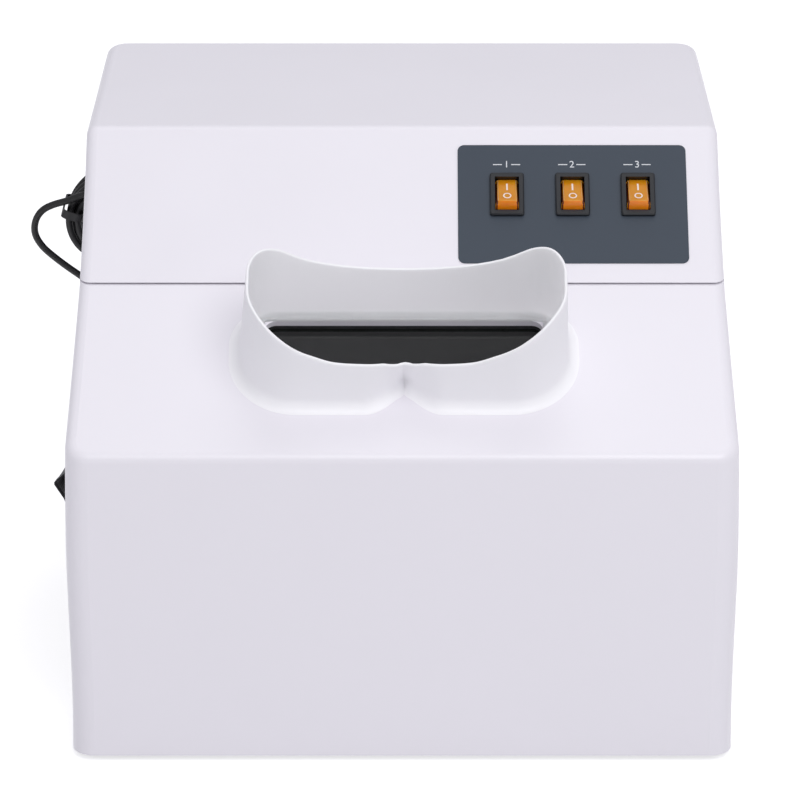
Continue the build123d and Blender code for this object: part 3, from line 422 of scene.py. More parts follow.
plastics = {
    "white_shell": ("mouldedAbsWhite", {
        "low": "#efecf2", "high": "#f1eef4", "rough": 0.30, "grain": 0.9, "depth": 0.012, "sink": 0.06}),
    "hood_white": ("vacuumFormedAbsWhite", {
        "low": "#fbfafd", "high": "#fefdff", "rough": 0.40, "grain": 0.7, "depth": 0.015, "sink": 0.03,
        "scatter": 0.1}),
    # the same plastic for the hood's inner faces, with strong scatter that carries outside light through the
    # wall: painted light that brightens the hood's inside
    "hood_inside_brightened": ("vacuumFormedAbsInsideBrightened", {
        "low": "#fbfafd", "high": "#fefdff", "rough": 0.45, "grain": 0.7, "depth": 0.015,
        "scatter": 1.0, "reach": 30.0}),
    "sample_black": ("embossedPvcSheet", {
        "low": "#0f0f11", "high": "#161618", "rough": 0.55, "grain": 0.8, "depth": 0.1}),
    "switch_black": ("mouldedNylonBlack", {
        "low": "#0e1015", "high": "#161a20", "rough": 0.34, "grain": 0.4, "depth": 0.02}),
    "diffuser": ("opalAcrylic", {
        "low": "#e9e9e4", "high": "#f1f1ec", "rough": 0.40, "grain": 0.8, "depth": 0.02, "ior": 1.49}),
    "holder_white": ("mouldedPbtWhite", {
        "low": "#dcdad2", "high": "#e6e4dc", "rough": 0.45, "grain": 0.6, "depth": 0.03}),
    "ballast_paint": ("stovedEnamelGrey", {
        "low": "#b9bab6", "high": "#c6c7c3", "rough": 0.38, "grain": 1.2, "depth": 0.04}),
    "plug_black": ("mouldedPvcBlack", {
        "low": "#0c0c0e", "high": "#171719", "rough": 0.42, "grain": 0.6, "depth": 0.03}),
}
metals = {
    "steel_sheet": ("coldRolledSteel", {
        "low": "#8e9092", "high": "#a5a7a9", "rough": 0.32, "line": 0.25, "along": 0}),
    "screw_steel": ("nickelPlatedSteel", {
        "low": "#a9aaac", "high": "#c4c5c7", "rough": 0.2, "line": 0.3, "along": 1}),
    "brass_blade": ("stampedBrass", {
        "low": "#b08d45", "high": "#c9a75c", "rough": 0.25, "line": 0.3, "along": 2}),
    "lamp_metal": ("drawnAluminiumCap", {
        "low": "#a8a9ab", "high": "#bdbec0", "rough": 0.3, "line": 0.2, "along": 0}),
    "reflector_metal": ("polishedAluminium", {
        "low": "#c3c5c8", "high": "#dcdee0", "rough": 0.12, "line": 0.4, "along": 0}),
}
glasses = {
    "window_glass": ("ultravioletBlockingGlass", {
        "low": "#151716", "high": "#1e201f", "rough": 0.03, "clear": 0.3}),
    "filter_glass": ("violetFilterGlass", {
        "low": "#120a1e", "high": "#1a0f2a", "rough": 0.03, "clear": 0.5}),
    "lamp_glass": ("drawnQuartzTube", {
        "low": "#dfe6ea", "high": "#f0f4f6", "rough": 0.06, "clear": 0.6}),
}
rubber = {"low": "#131314", "high": "#29292a", "rough": (0.62, 0.88), "dust": 4.0, "grain": 0.6, "depth": 0.05}
film = {"low": "#283544", "high": "#2c3947", "rough": (0.42, 0.56), "cloud": 60.0, "grain": 0.35, "depth": 0.02}
blackout = {
    "low": "#08080a", "high": "#1c1c1f", "rough": 0.85, "sheen": 0.45, "fuzz": 2.5, "depth": 0.12,
    "thread": 0.9,  # the real thread is 0.3 mm, drawn coarser so that it shows
}
# one amber in four copies: the face, the end walls in a painted deeper orange, the bevels with a painted
# highlight, the sides with painted shade in the gap round the cap
ambers = {
    "face": ("amberFace", "#d08208", "#dc9416", 0.25), "end": ("amberEndWallPaintedDepth", "#e07800", "#ee8c06", 0.35),
    "bevel": ("amberBevelPaintedHighlight", "#dca870", "#e8c094", 0.3), "side": ("amberSideWallPaintedShade", "#4a1606", "#6a240a", 0.2),
}
inks = {"panel": ("screenInkWhite", "#d5d8dc", "#e6e8eb"), "rocker": ("padPrintedInk", "#f2dcd0", "#f8ebe2")}
materials = {name: mouldedPlastic(*s) for name, s in plastics.items()}
materials |= {name: rolledMetal(*s) for name, s in metals.items()}
materials |= {name: floatGlass(*s) for name, s in glasses.items()}
amber = {name: castAmber(*s) for name, s in ambers.items()}
ink = {name: screenInk(*s) for name, s in inks.items()}
materials |= {
    "rubber_black": vulcanisedRubber(rubber),
    "label_slate": printedFilm(film),
    "rocker_amber": amber["face"],
    "cloth_black": wovenPolyester(blackout),
    "cord_black": jacket,
}
for part in frame["record"]["subparts"]:
    solid = nodes[part["node"]]
    solid.data.materials.clear()
    solid.data.materials.append(materials[part["material_slot"]])
print("materials made:", len(materials))

# Viewing hood: one thin shell on the lower slope, flared at its foot and rounded over its lip
eyeHood = {
    "origin": (0.8, -53.0, 190.343), "slope": 30.0,
    "half": 70.5, "back": 17.0, "front": 67.5, "backCorner": 17.0, "frontCorner": 25.0,
    "lean": 3.2, "frontLean": 0.25, "sway": 1.1, "wall": 1.3, "floor": 1.6, "top": 51.6,
    "notchHalf": 17.0, "notchFoot": 10.0, "notchRim": 0.9,
    "grooveHalf": 3.8, "grooveDepth": 4.2, "grooveGain": 1.2,
    "bridge": 31.5, "temple": 47.6, "noseDip": 2.4, "noseRadius": 15.0, "noseLift": 0.15, "frontDrop": 3.0,
    # heights along the rim, over the share of the half width
    "rimKnots": ((0, 0), (0.3, 0.08), (0.58, 0.36), (0.78, 0.86), (0.88, 1.1), (0.95, 1.15), (1.2, 1.0)),
    "frontSag": ((0, 2.7), (0.2, 2.1), (0.42, 2.8), (0.55, 1.0), (0.66, 0), (1.2, 0)),
    "rimGuess": 40.0, "rimPasses": 6,
    "flare": 5.0, "sunk": 0.04, "innerRound": 2.6, "roundShare": 0.6,
    "windowHalf": (60.0, 17.0), "windowMiddle": -38.0, "windowShare": 0.995, "sill": 0.6, "sillFoot": -2.9,
    "levelsPerMm": 2, "cornerSteps": 16, "noseSteps": 64, "backSteps": 20,
    "footSteps": 8, "rows": 14, "lipSteps": 6, "innerRows": 12, "roundSteps": 6,
}
slopeTurn = Matrix.Translation(Vector(eyeHood["origin"])) @ Matrix.Rotation(radians(eyeHood["slope"]), 4, "X")


def hoodOutline(share, notch):
    # the hood's plan at one height, as a closed run of points that match from height to height
    s = eyeHood
    half = s["half"] - s["lean"] * share
    back, front = -s["back"], -s["front"] + s["lean"] * share * s["frontLean"]
    backRound, frontRound = s["backCorner"], s["frontCorner"]
    left, right = -half + frontRound, half - frontRound
    corners = []
    for cx, cy, r, start in ((half - backRound, back - backRound, backRound, 0),
                             (-half + backRound, back - backRound, backRound, 90),
                             (left, front + frontRound, frontRound, 180),
                             (right, front + frontRound, frontRound, 270)):
        angles = [radians(start + 90 * i / s["cornerSteps"]) for i in range(s["cornerSteps"] + 1)]
        corners.append([(cx + r * cos(a), cy + r * sin(a)) for a in angles])
    nose = []
    for i in range(1, s["noseSteps"]):
        x = left + (right - left) * i / s["noseSteps"]
        near = min(abs(x) / s["notchHalf"], 1)
        fold = min(abs(x) / s["grooveHalf"], 1)
        deep = s["grooveDepth"] * max(notch - s["notchRim"], 0) / s["notchFoot"] * s["grooveGain"]
        nose.append((x, front + notch * (0.5 + 0.5 * cos(pi * near)) + deep * (0.5 + 0.5 * cos(pi * fold))))
    start, end = corners[0][-1][0], corners[1][0][0]
    run = [(start + (end - start) * i / s["backSteps"], back) for i in range(1, s["backSteps"])]
    line = corners[0] + run + corners[1] + corners[2] + nose + corners[3]
    return [(x + s["sway"] * share, y) for x, y in line]


def insetOutline(outline):
    # each point moved inwards by a millimetre, square to the line
    count = len(outline)
    moved = []
    for i, (x, y) in enumerate(outline):
        (ax, ay), (bx, by) = outline[i - 1], outline[(i + 1) % count]
        if abs(bx - ax) + abs(by - ay) < 1e-9:  # two points in one place
            (bx, by) = outline[(i + 2) % count]
        long = hypot(bx - ax, by - ay)
        moved.append((x - (by - ay) / long, y + (bx - ax) / long))
    return moved


def hoodLevels(inset):
    # plans at close steps of height, so that a point at any height is a blend of two
    s = eyeHood
    nose = s["bridge"] - s["noseDip"]
    levels = []
    for k in range(int(s["top"] * s["levelsPerMm"]) + 4):
        z = k / s["levelsPerMm"]
        notch = s["notchFoot"] + (s["notchRim"] - s["notchFoot"]) * min(z / nose, 1)
        plan = hoodOutline(z / s["top"], notch)
        levels.append([between(p, q, inset) for p, q in zip(plan, insetOutline(plan))])
    return levels


def atHeight(levels, i, z):
    k = min(max(z * eyeHood["levelsPerMm"], 0), len(levels) - 2)
    low = int(floor(k))
    return between(levels[low][i], levels[low + 1][i], k - low)


def rimHeight(x, y):
    # two peaks at the temples, a front that sinks, and a round dip for the nose
    s = eyeHood
    share = smoothThrough(s["rimKnots"], abs(x) / s["half"])
    high = s["bridge"] + (s["temple"] - s["bridge"]) * share
    forward = min(max((-s["back"] - y) / (s["front"] - s["back"]), 0), 1)
    drop = s["frontDrop"] * forward + smoothThrough(s["frontSag"], abs(x) / s["half"]) * forward ** 2
    if y < s["windowMiddle"] and abs(x) < s["noseRadius"]:
        dip = s["bridge"] - s["noseDip"] + s["noseRadius"] - sqrt(s["noseRadius"] ** 2 - x * x)
        high = min(high, dip + s["noseLift"])
    return high - drop


def hoodShell():
    # rings of points: up the outside, over the lip, down the inside, and in to the window's edge
    s = eyeHood
    outer, inner, spread = hoodLevels(0.0), hoodLevels(s["wall"]), hoodLevels(-s["flare"])
    count = len(outer[0])
    lipRound = s["wall"] / 2
    rings, rim = [], []
    for i in range(count):
        z = s["rimGuess"]
        for _ in range(s["rimPasses"]):
            z = rimHeight(*atHeight(outer, i, z))
        rim.append(z)
    for step in range(s["footSteps"] + 1):
        # a round foot that runs out flat on the slope
        turn = pi / 2 * step / s["footSteps"]
        z = s["flare"] * (1 - cos(turn))
        rings.append([(*between(atHeight(outer, i, z), atHeight(spread, i, z), 1 - sin(turn)), z - s["sunk"])
                      for i in range(count)])
    for row in range(1, s["rows"] + 1):
        heights = [s["flare"] + (top - lipRound - s["flare"]) * row / s["rows"] for top in rim]
        rings.append([(*atHeight(outer, i, z), z) for i, z in enumerate(heights)])
    for step in range(1, s["lipSteps"]):
        turn = pi * step / s["lipSteps"]
        ring = []
        for i, top in enumerate(rim):
            z = top - lipRound
            x, y = between(atHeight(outer, i, z), atHeight(inner, i, z), (1 - cos(turn)) / 2)
            ring.append((x, y, z + lipRound * sin(turn)))
        rings.append(ring)
    firstInside = len(rings) - 1
    low = s["floor"] + s["innerRound"]
    for row in range(s["innerRows"] + 1):
        share = row / s["innerRows"]
        heights = [(top - lipRound) * (1 - share) + low * share for top in rim]
        rings.append([(*atHeight(inner, i, z), z) for i, z in enumerate(heights)])
    middle = s["windowMiddle"]
    halfWide, halfDeep = s["windowHalf"]
    edge = []
    for x, y in inner[0]:
        share = min(1 / max(abs(x) / halfWide, abs(y - middle) / halfDeep), s["windowShare"])
        edge.append((x * share, middle + (y - middle) * share))
    for step in range(1, s["roundSteps"] + 1):
        turn = pi / 2 * step / s["roundSteps"]
        ring = []
        for i, (edgeX, edgeY) in enumerate(edge):
            x, y = atHeight(inner, i, low)
            far = hypot(edgeX - x, edgeY - y)
            move = min(s["innerRound"] * (1 - cos(turn)), far * s["roundShare"] * step / s["roundSteps"]) / far
            ring.append((*between((x, y), edge[i], move), low - s["innerRound"] * sin(turn)))
        rings.append(ring)
    for z in (s["floor"], s["floor"] - s["sill"], s["sillFoot"]):
        rings.append([(x, y, z) for x, y in edge])
    points = [tuple(slopeTurn @ Vector(p)) for ring in rings for p in ring]
    # the inner faces take the brightened copy of the plastic
    surface = [1 if k >= firstInside else 0 for k in range(len(rings) - 1) for _ in range(count)]
    hood = makePiece("eye_hood", points, bandFaces(len(rings), count),
                     [materials["hood_white"], materials["hood_inside_brightened"]], "cabinet", surface)
    turnOutward(hood, joinWithin=0.01 * mm)
    return hood


hood = hoodShell()
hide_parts("viewing_hood")
print("hood formed:", len(hood.data.vertices), "points")

# Arm-port curtains: one cloth each, clamped along its top and hung over the port in shallow folds
armCurtain = {
    "middle": (-142.467, -8.0, 3.0), "taper": 0.0105, "width": 150.0, "folds": 5,
    "bandTop": 124.2, "bandLow": 112.4, "drop": 95.0, "tucked": 2.0, "stand": 1.85, "cloth": 0.8, "gap": 0.1,
    "foldDepth": 3.4, "lie": 0.4, "bulge": 0.6, "corner": 6.6, "cornerFall": 1.15, "crest": 6.0,
    # shares of those depths, over the distance in millimetres below the clamp
    "foldShare": ((0, 0.02), (3.2, 0.06), (6.4, 0.15), (14, 0.35), (20, 0.45), (33, 0.65), (95, 1.0)),
    "cornerShare": ((0, 0.04), (3.2, 0.5), (6.4, 1.0), (14, 0.3), (20, 0.1), (33, 0.0), (95, 0.0)),
    "crestShare": ((0, 0.02), (3.2, 0.2), (6.4, 0.55), (14, 1.0), (20, 0.85), (33, 0.6), (95, 0.5)),
    "clampEase": 3.2, "ripple": 0.25, "rippleTurns": (0.21, 0.07), "rippleEase": 30.0,
    "bendOut": 1.0, "bendAbove": 0.6, "bendLength": 2.4,
    "across": 120, "down": 96, "hem": 8.0, "sideHem": 5.0, "hemExtra": 0.3, "belowClamp": 4.0,
    "stitchLength": 2.2, "stitchPitch": 3.3, "stitchWidth": 0.45, "stitchUp": 1.2, "stitchIn": 1.0,
    "stitchProud": 0.22, "stitchSunk": 0.05,
}


def straightThrough(knots, x):
    for (x0, y0), (x1, y1) in zip(knots, knots[1:]):
        if x <= x1:
            return y0 + (y1 - y0) * (x - x0) / (x1 - x0)
    return knots[-1][1]


def curtainStand(side, across, height):
    # how far out the cloth's middle lies, at a place along the port and a height over the floor line
    s = armCurtain
    flat = s["cloth"] / 2 + s["gap"]
    down = s["bandLow"] - height
    if down <= 0:
        return flat
    rise = min(down / s["clampEase"], 1)
    rise = rise * rise * (3 - 2 * rise)
    depth = s["foldDepth"] * smoothThrough(s["foldShare"], down)
    at = min(max((across / s["width"] + 0.5) * s["folds"], 0), s["folds"] - 0.0001)
    fold, part = divmod(at, 1)
    alongTurn, upTurn = s["rippleTurns"]
    ripple = s["ripple"] * sin(across * alongTurn + side) * sin(height * upTurn)
    ripple *= min(down / s["rippleEase"], 1)
    if fold == 0:
        # the front edge lies close to the side, out of sight from the front
        out = depth * s["lie"] * part
        ripple *= part
        rise *= s["lie"] + (1 - s["lie"]) * part
    else:
        out = depth * (s["lie"] + (s["bulge"] if fold % 2 else -s["lie"]) * sin(pi * part))
    if side < 0 and fold == 0:
        out += s["corner"] * straightThrough(s["cornerShare"], down) * (1 - part) ** s["cornerFall"]
    if side > 0 and fold == s["folds"] - 1:
        out += s["crest"] * smoothThrough(s["crestShare"], down) * sin(pi * part)
    return flat + s["stand"] * rise + out + ripple


def curtainPlace(side, across, out, height):
    s = armCurtain
    x, y, z = s["middle"]
    place = Vector((x, y, z)) + Vector((s["taper"], 1, 0)) * across + Vector((-1, s["taper"], 0)) * out
    return (place.x if side < 0 else -place.x, place.y, z + height)


def hangCurtain(side):
    # a grid of points on each face of the cloth, and a rim that joins them
    s = armCurtain
    name = "left" if side < 0 else "right"
    bottom = s["bandLow"] - s["drop"]
    nx, nz = s["across"], s["down"]
    points, faces = [], []
    for face in (1, -1):
        for j in range(nz + 1):
            height = s["bandTop"] + (bottom - s["bandTop"]) * j / nz
            for i in range(nx + 1):
                across = s["width"] * (i / nx - 0.5)
                edge = min(across + s["width"] / 2, s["width"] / 2 - across)
                inSideHem = edge < s["sideHem"] and height < s["bandLow"] - s["belowClamp"]
                thick = s["cloth"]
                if height - bottom < s["hem"] or inSideHem:
                    thick += s["hemExtra"]
                out = curtainStand(side, across, height) + face * thick / 2 + (thick - s["cloth"]) / 2
                points.append(curtainPlace(side, across, out, height))
    size = (nx + 1) * (nz + 1)
    for j in range(nz):
        for i in range(nx):
            a = j * (nx + 1) + i
            quad = (a, a + 1, a + nx + 2, a + nx + 1)
            faces.append(quad if side > 0 else quad[::-1])
            faces.append(tuple(v + size for v in (quad[::-1] if side > 0 else quad)))
    rim = list(range(nx)) + [nx + j * (nx + 1) for j in range(nz)]
    rim += [size - 1 - i for i in range(nx)] + [(nz - j) * (nx + 1) for j in range(nz)]
    for k, a in enumerate(rim):
        b = rim[(k + 1) % len(rim)]
        faces.append((a, b, b + size, a + size) if side < 0 else (b, a, a + size, b + size))
    cloth = makePiece(name + "_cloth", points, faces, [materials["cloth_black"]], None)
    turnOutward(cloth)
    x, y, z = [v * mm for v in curtainPlace(side, 0, s["bendOut"], s["bandLow"])]
    z += s["bendAbove"] * mm
    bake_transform(cloth)
    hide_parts(name + "_curtain", name + "_curtain_band")
    stitches = sewStitches(side, name, bottom)


def sewStitches(side, name, bottom):
    # lock stitches along the hem and down both sides: small rounded bars that lie on the cloth
    s = armCurtain
    runs = []
    level = bottom + s["hem"] - s["stitchUp"]
    for i in range(1, int(s["width"] / s["stitchPitch"])):
        across = -s["width"] / 2 + i * s["stitchPitch"]
        runs.append(((across, level), (across + s["stitchLength"], level)))
    line = s["width"] / 2 - s["sideHem"] + s["stitchIn"]
    for edge in (-line, line):
        for j in range(3, int(s["drop"] / s["stitchPitch"]) - 1):
            height = s["bandLow"] - s["belowClamp"] - j * s["stitchPitch"]
            runs.append(((edge, height), (edge, height - s["stitchLength"])))
    points, faces = [], []
    half, proud = s["stitchWidth"] / 2, s["stitchProud"]
    for (a0, h0), (a1, h1) in runs:
        long = hypot(a1 - a0, h1 - h0)
        sx, sz = (h1 - h0) / long, -(a1 - a0) / long
        faces += ridgeFaces(len(points))
        for t, wide, lift in ((0, 0.4, 0.0), (0.2, 1, proud), (0.8, 1, proud), (1, 0.4, 0.0)):
            a, h = a0 + (a1 - a0) * t, h0 + (h1 - h0) * t
            top = curtainStand(side, a, h) + s["cloth"] / 2 + s["hemExtra"]
            for part, out in ((-1, 0), (-0.5, lift), (0.5, lift), (1, 0)):
                across = half * wide * part
                points.append(curtainPlace(side, a + sx * across, top + out - s["stitchSunk"], h + sz * across))
    return makePiece(name + "_stitches", points, faces, [materials["cord_black"]],
                     name + "_curtain")


for side in (-1, 1):
    hangCurtain(side)
print("curtains hung")

# Switches: amber rockers with bevelled sides, their marks, and the numerals over them
panelRun = {
    "angle": 42.0, "ridge": (0.0, 5.48, 243.0), "switchX": (46.05, 74.8, 103.55), "switchDrop": 35.0,
    "film": 0.4, "numeralDrop": 19.6, "numeralHeight": 3.4, "fontShare": 1.4,
    "dash": (4.0, 0.45), "dashGap": 2.0, "inkHalf": 0.02, "inkLift": 0.03,
}
rockerCap = {
    "pivotLift": 0.8, "tilt": 25.0, "reach": 8.15, "rise": 2.6, "dip": 0.35,
    "highAngle": 18.6, "lowAngle": 35.0, "half": 4.25, "bevel": 0.6, "bevelDrop": 0.5,
    "skirt": 0.85, "skirtDrop": 2.4, "draft": 0.02,
    "topSteps": 16, "endSteps": 8, "edgeRound": 0.22, "sharpAngle": 24.0,
    "barPlace": 2.6, "bar": (0.75, 4.6), "ringPlace": -3.9, "ring": (1.25, 1.85), "ringStretch": 1.15,
    "ringSteps": 32, "markLift": 0.04,
}
rockerHalf = sqrt(rockerCap["reach"] ** 2 - rockerCap["rise"] ** 2)
panelTurn = Matrix.Translation(Vector(panelRun["ridge"])) @ Matrix.Rotation(radians(panelRun["angle"]), 4, "X")


def rockerTurn(x):
    s = rockerCap
    place = Matrix.Translation(Vector((x, -panelRun["switchDrop"], s["pivotLift"])))
    return panelTurn @ place @ Matrix.Rotation(radians(-s["tilt"]), 4, "X")


def rockerFace(y):
    s = rockerCap
    return s["rise"] - s["dip"] * (1 - abs(y) / rockerHalf)


def rockerSection(drop):
    # one slice across the rocker: shallow V on top, arcs about the pivot at both ends
    s = rockerCap
    steps, narrow = s["topSteps"], 1 - drop * s["draft"]
    top = [-rockerHalf + 2 * rockerHalf * i / steps for i in range(steps + 1)]
    high, low = radians(s["highAngle"]), radians(s["lowAngle"])
    ends = []
    for i in range(1, s["endSteps"] + 1):
        angle = high - (high + low) * i / s["endSteps"]
        ends.append((s["reach"] * cos(angle) * narrow, s["reach"] * sin(angle)))
    return [(y * narrow, rockerFace(y) - drop) for y in top] + ends + [(-y, z) for y, z in reversed(ends)]


def rockerShell(number, x):
    s = rockerCap
    turn = rockerTurn(x)
    slices = [(s["half"] + s["skirt"], s["skirtDrop"]), (s["half"], s["bevelDrop"]),
              (s["half"] - s["bevel"], 0.0)]
    slices = [(-across, drop) for across, drop in slices] + slices[::-1]
    count = len(rockerSection(0))
    points = [tuple(turn @ Vector((across, y, z))) for across, drop in slices for y, z in rockerSection(drop)]
    faces = bandFaces(len(slices), count, ends=True)
    face, end, bevel, side = range(4)
    # bevel strips take the painted highlight, side strips the painted shade, the ends the painted deeper orange
    surface = [strip if strip == side or i < s["topSteps"] else end
               for strip in (side, bevel, face, bevel, side) for i in range(count)]
    cap = makePiece(f"rocker_cap_{number}", points, faces,
                    [amber["face"], amber["end"], amber["bevel"], amber["side"]],
                    f"rocker_{number}", surface + [side, side])
    tool = bmesh.new()
    tool.from_mesh(cap.data)
    bmesh.ops.recalc_face_normals(tool, faces=tool.faces)
    sharp = [e for e in tool.edges if len(e.link_faces) == 2 and e.calc_face_angle() > radians(s["sharpAngle"])]
    bmesh.ops.bevel(tool, geom=sharp, offset=s["edgeRound"] * mm, segments=2, profile=0.5, affect="EDGES")
    for f in tool.faces:
        f.smooth = True
    tool.to_mesh(cap.data)
    tool.free()
    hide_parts(f"rocker_{number}")


def rockerMarks(number, x):
    # the bar and the ring, pad-printed on the face
    s = rockerCap
    turn = rockerTurn(x)
    wide, long = s["bar"]
    flat = [(across, y) for y in (s["barPlace"] - long / 2, s["barPlace"] + long / 2)
            for across in (-wide / 2, wide / 2)]
    steps = s["ringSteps"]
    for radius in s["ring"]:
        for i in range(steps):
            a = 2 * pi * i / steps
            flat.append((radius * cos(a), s["ringPlace"] + radius * s["ringStretch"] * sin(a)))
    points = [tuple(turn @ Vector((across, y, rockerFace(y) + s["markLift"]))) for across, y in flat]
    faces = [(0, 1, 3, 2)]
    for i in range(steps):
        j = (i + 1) % steps
        faces.append((4 + i, 4 + j, 4 + steps + j, 4 + steps + i))
    makePiece(f"rocker_marks_{number}", points, faces, [ink["rocker"]], f"rocker_{number}")


def panelNumeral(number, x):
    # a plain numeral between two dashes, as one thin print on the film
    s = panelRun
    curve = bpy.data.curves.new("numeral", "FONT")
    curve.body = str(number)
    curve.size = s["numeralHeight"] * mm * s["fontShare"]
    curve.align_x = "CENTER"
    curve.align_y = "CENTER"
    curve.extrude = s["inkHalf"] * mm
    text = bpy.data.objects.new("numeral", curve)
    scene.collection.objects.link(text)
    bpy.context.view_layer.update()
    mesh = bpy.data.meshes.new_from_object(text.evaluated_get(bpy.context.evaluated_depsgraph_get()))
    bpy.data.objects.remove(text)
    tool = bmesh.new()
    tool.from_mesh(mesh)
    long, thick = s["dash"]
    size = Matrix.Diagonal((long * mm, thick * mm, 2 * s["inkHalf"] * mm, 1))
    for way in (-1, 1):
        middle = Matrix.Translation(Vector((way * (s["dashGap"] + long / 2), 0, 0)) * mm)
        bmesh.ops.create_cube(tool, size=1, matrix=middle @ size)
    tool.to_mesh(mesh)
    tool.free()
    mesh.materials.clear()
    mesh.materials.append(ink["panel"])
    mark = bpy.data.objects.new(f"panel_numeral_{number}", mesh)
    turned = panelTurn @ Matrix.Translation(Vector((x, -s["numeralDrop"], s["film"] + s["inkLift"])))
    turned.translation *= mm
    mark.matrix_world = turned
    scene.collection.objects.link(mark)
    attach(mark, "cabinet")


for number, x in enumerate(panelRun["switchX"], 1):
    rockerShell(number, x)
    rockerMarks(number, x)
    panelNumeral(number, x)
print("switches and panel print made")

# Strain relief: a ribbed elbow from the back wall down to the lead
ribbedGland = {
    "x": -120.7, "height": 211.0, "backWall": 135.0, "straight": 13.2, "bend": 12.0, "tail": 4.0,
    "thick": 4.5, "thin": 2.6, "ribPitch": 2.6, "ribDepth": 0.5, "ribsFrom": 4.0, "ribEase": 2.0,
    # the flange on the wall, as runs from the wall and radii
    "flange": ((-6.0, 0.2), (-6.0, 4.5), (0.0, 4.5), (0.02, 7.25), (0.4, 7.65), (1.5, 7.65), (2.0, 7.15),
               (2.05, 5.1)),
    "sleeveFrom": 2.4, "endStep": 0.05, "endRound": 0.4, "bore": 0.2, "rows": 120, "around": 32,
}


def glandPath(run):
    # middle line and direction at a run from the wall
    s = ribbedGland
    corner = s["backWall"] + s["straight"]
    arc = s["bend"] * pi / 2
    if run < s["straight"]:
        return Vector((s["x"], s["backWall"] + run, s["height"])), Vector((0, 1, 0))
    if run < s["straight"] + arc:
        turn = (run - s["straight"]) / s["bend"]
        place = Vector((s["x"], corner + s["bend"] * sin(turn), s["height"] - s["bend"] * (1 - cos(turn))))
        return place, Vector((0, cos(turn), -sin(turn)))
    down = s["bend"] + run - s["straight"] - arc
    return Vector((s["x"], corner + s["bend"], s["height"] - down)), Vector((0, 0, -1))


def strainRelief():
    s = ribbedGland
    total = s["straight"] + s["bend"] * pi / 2 + s["tail"]
    sections = list(s["flange"])
    for row in range(s["rows"] + 1):
        run = s["sleeveFrom"] + (total - s["sleeveFrom"]) * row / s["rows"]
        radius = s["thick"] + (s["thin"] - s["thick"]) * run / total
        fromFlange = min(max((run - s["ribsFrom"]) / s["ribEase"], 0), 1)
        fromEnd = min(max((total - s["ribEase"] - run) / s["ribEase"], 0), 1)
        groove = s["ribDepth"] * fromFlange * fromEnd * (0.5 - 0.5 * cos(2 * pi * run / s["ribPitch"])) ** 2
        sections.append((run, radius - groove))
    sections += [(total + s["endStep"], s["thin"] - s["endRound"]), (total + s["endStep"], s["bore"])]
    points = []
    count = s["around"]
    side = Vector((1, 0, 0))
    for run, radius in sections:
        place, way = glandPath(run)
        up = way.cross(side)
        for i in range(count):
            a = 2 * pi * i / count
            points.append(tuple(place + (side * cos(a) + up * sin(a)) * radius))
    faces = bandFaces(len(sections), count, ends=True)
    relief = makePiece("strain_relief", points, faces, [materials["plug_black"]], "cabinet")
    turnOutward(relief)
    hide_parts("cord_gland")
    return relief


relief = strainRelief()

# Plug: grip bars on its wide faces and rings round its neck
plugGrip = {
    "neck": 8.0, "bars": 6, "barsDown": 6.0, "barPitch": 2.4, "barLong": 12.0, "barWide": 1.0,
    "barProud": 0.5, "barSunk": 0.05, "faceIn": 0.55,
    "rings": 3, "ringsDown": 1.6, "ringPitch": 2.2, "ringTube": 0.45, "ringSunk": 0.1,
    "neckRadii": (2.5, 4.2), "taper": 9.0, "around": 28, "tubeAround": 8,
}


def plugRibs():
    s = plugGrip
    low, high = [Vector(corner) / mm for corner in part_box("plug_body")]
    middleX, middleY = (low.x + high.x) / 2, (low.y + high.y) / 2
    points, faces = [], []
    for face in (-1, 1):
        flat = middleY + face * (high.y - low.y) / 2
        for bar in range(s["bars"]):
            z = high.z - s["neck"] - s["barsDown"] - bar * s["barPitch"]
            faces += ridgeFaces(len(points))
            for t, proud in ((-0.5, 0.0), (-0.44, s["barProud"]), (0.44, s["barProud"]), (0.5, 0.0)):
                for up, out in ((-0.5, -s["barSunk"]), (-0.25, proud), (0.25, proud), (0.5, -s["barSunk"])):
                    points.append((middleX + t * s["barLong"], flat + face * (out - s["faceIn"]),
                                   z + up * s["barWide"]))
    around, tube = s["around"], s["tubeAround"]
    thin, thick = s["neckRadii"]
    for ring in range(s["rings"]):
        z = high.z - s["ringsDown"] - ring * s["ringPitch"]
        radius = thin + (thick - thin) * (high.z - z) / s["taper"] - s["ringSunk"]
        base = len(points)
        for i in range(around):
            a = 2 * pi * i / around
            for j in range(tube):
                b = 2 * pi * j / tube
                r = radius + s["ringTube"] * cos(b)
                points.append((middleX + r * cos(a), middleY + r * sin(a), z + s["ringTube"] * sin(b)))
        for i in range(around):
            here, there = base + i * tube, base + (i + 1) % around * tube
            faces += [(here + j, here + (j + 1) % tube, there + (j + 1) % tube, there + j) for j in range(tube)]
    ribs = makePiece("plug_ribs", points, faces, [materials["plug_black"]], "cabinet")
    turnOutward(ribs)
    return ribs


ribs = plugRibs()
print("strain relief and plug finished")

# Floor, backdrop and lamps
studio = {
    "floorSize": 30.0, "floorLow": "#dadadc", "floorHigh": "#dddddf", "cameraGlow": 0.62,
    "worldShade": "#f4f4fa", "worldStrength": 0.61,
}


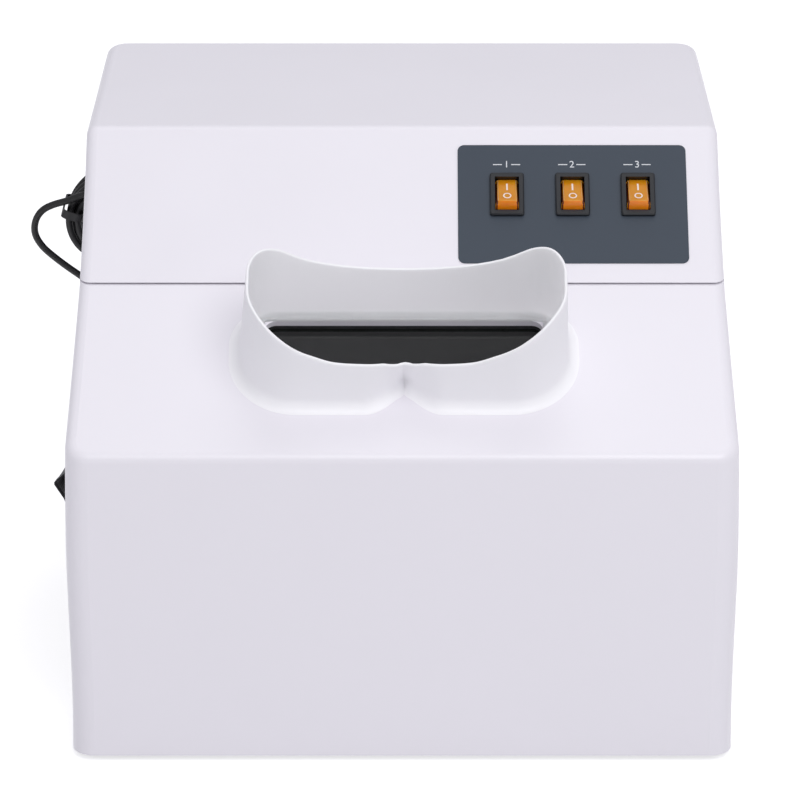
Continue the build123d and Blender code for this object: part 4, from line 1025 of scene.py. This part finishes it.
def studioFloor():
    # matt paper: white where nothing shades it, and it keeps the cabinet's shadow
    material, tree, place = startMaterial("mattPaper")
    cloud = addNode(tree, "TexNoise", inputs={"Vector": place, "Scale": 3.0})
    colour = addNode(tree, "Mix", {"data_type": "RGBA"}, {
        0: cloud.outputs[0], 6: toLinear(studio["floorLow"]), 7: toLinear(studio["floorHigh"])})
    paper = addNode(tree, "BsdfDiffuse", inputs={"Color": colour.outputs[2]})
    ray = addNode(tree, "LightPath")
    seen = addNode(tree, "Math", {"operation": "MAXIMUM"}, {
        0: ray.outputs["Is Camera Ray"], 1: ray.outputs["Is Glossy Ray"]})
    seenToo = addNode(tree, "Math", {"operation": "MAXIMUM"}, {
        0: seen.outputs[0], 1: ray.outputs["Is Transmission Ray"]})
    strength = addNode(tree, "Math", {"operation": "MULTIPLY"}, {
        0: seenToo.outputs[0], 1: studio["cameraGlow"]})
    glow = addNode(tree, "Emission", inputs={"Color": (1, 1, 1, 1), "Strength": strength.outputs[0]})
    both = addNode(tree, "AddShader", inputs={0: paper.outputs[0], 1: glow.outputs[0]})
    addNode(tree, "OutputMaterial", inputs={"Surface": both.outputs[0]})
    return material


floorMesh = bpy.data.meshes.new("floor")
reach = studio["floorSize"] / 2
corners = [(-reach, -reach, 0), (reach, -reach, 0), (reach, reach, 0), (-reach, reach, 0)]
floorMesh.from_pydata(corners, [], [(0, 1, 2, 3)])
paperFloor = bpy.data.objects.new("floor", floorMesh)
floorMesh.materials.append(studioFloor())
scene.collection.objects.link(paperFloor)

world = bpy.data.worlds.new("studio")
world.use_nodes = True
sky = world.node_tree
sky.nodes.clear()
ray = addNode(sky, "LightPath")
fill = addNode(sky, "Background", inputs={
    "Color": toLinear(studio["worldShade"]), "Strength": studio["worldStrength"]})
plain = addNode(sky, "Background", inputs={"Color": (1, 1, 1, 1), "Strength": 1.0})
mixed = addNode(sky, "MixShader", inputs={
    0: ray.outputs["Is Camera Ray"], 1: fill.outputs[0], 2: plain.outputs[0]})
addNode(sky, "OutputWorld", inputs={"Surface": mixed.outputs[0]})
scene.world = world

lamps = {
    "highFront": {
        "place": (0.45, -1.55, 1.75), "aim": (0, 0, 0.12), "size": 1.5, "power": 18.5, "shade": "#ffffff"},
    "overTop": {
        "place": (0.2, 0.3, 2.4), "aim": (0, 0, 0.12), "size": 1.5, "power": 5.8, "shade": "#fcfcff"},
}
for name, s in lamps.items():
    data = bpy.data.lights.new(name, "AREA")
    data.shape = "DISK"
    data.size = s["size"]
    data.energy = s["power"]
    data.color = toLinear(s["shade"])[:3]
    lamp = bpy.data.objects.new(name, data)
    lamp.location = s["place"]
    aim = Vector(s["aim"]) - Vector(s["place"])
    lamp.rotation_euler = aim.to_track_quat("-Z", "Y").to_euler()
    scene.collection.objects.link(lamp)
scene.view_settings.view_transform = "Standard"
print("studio lit")
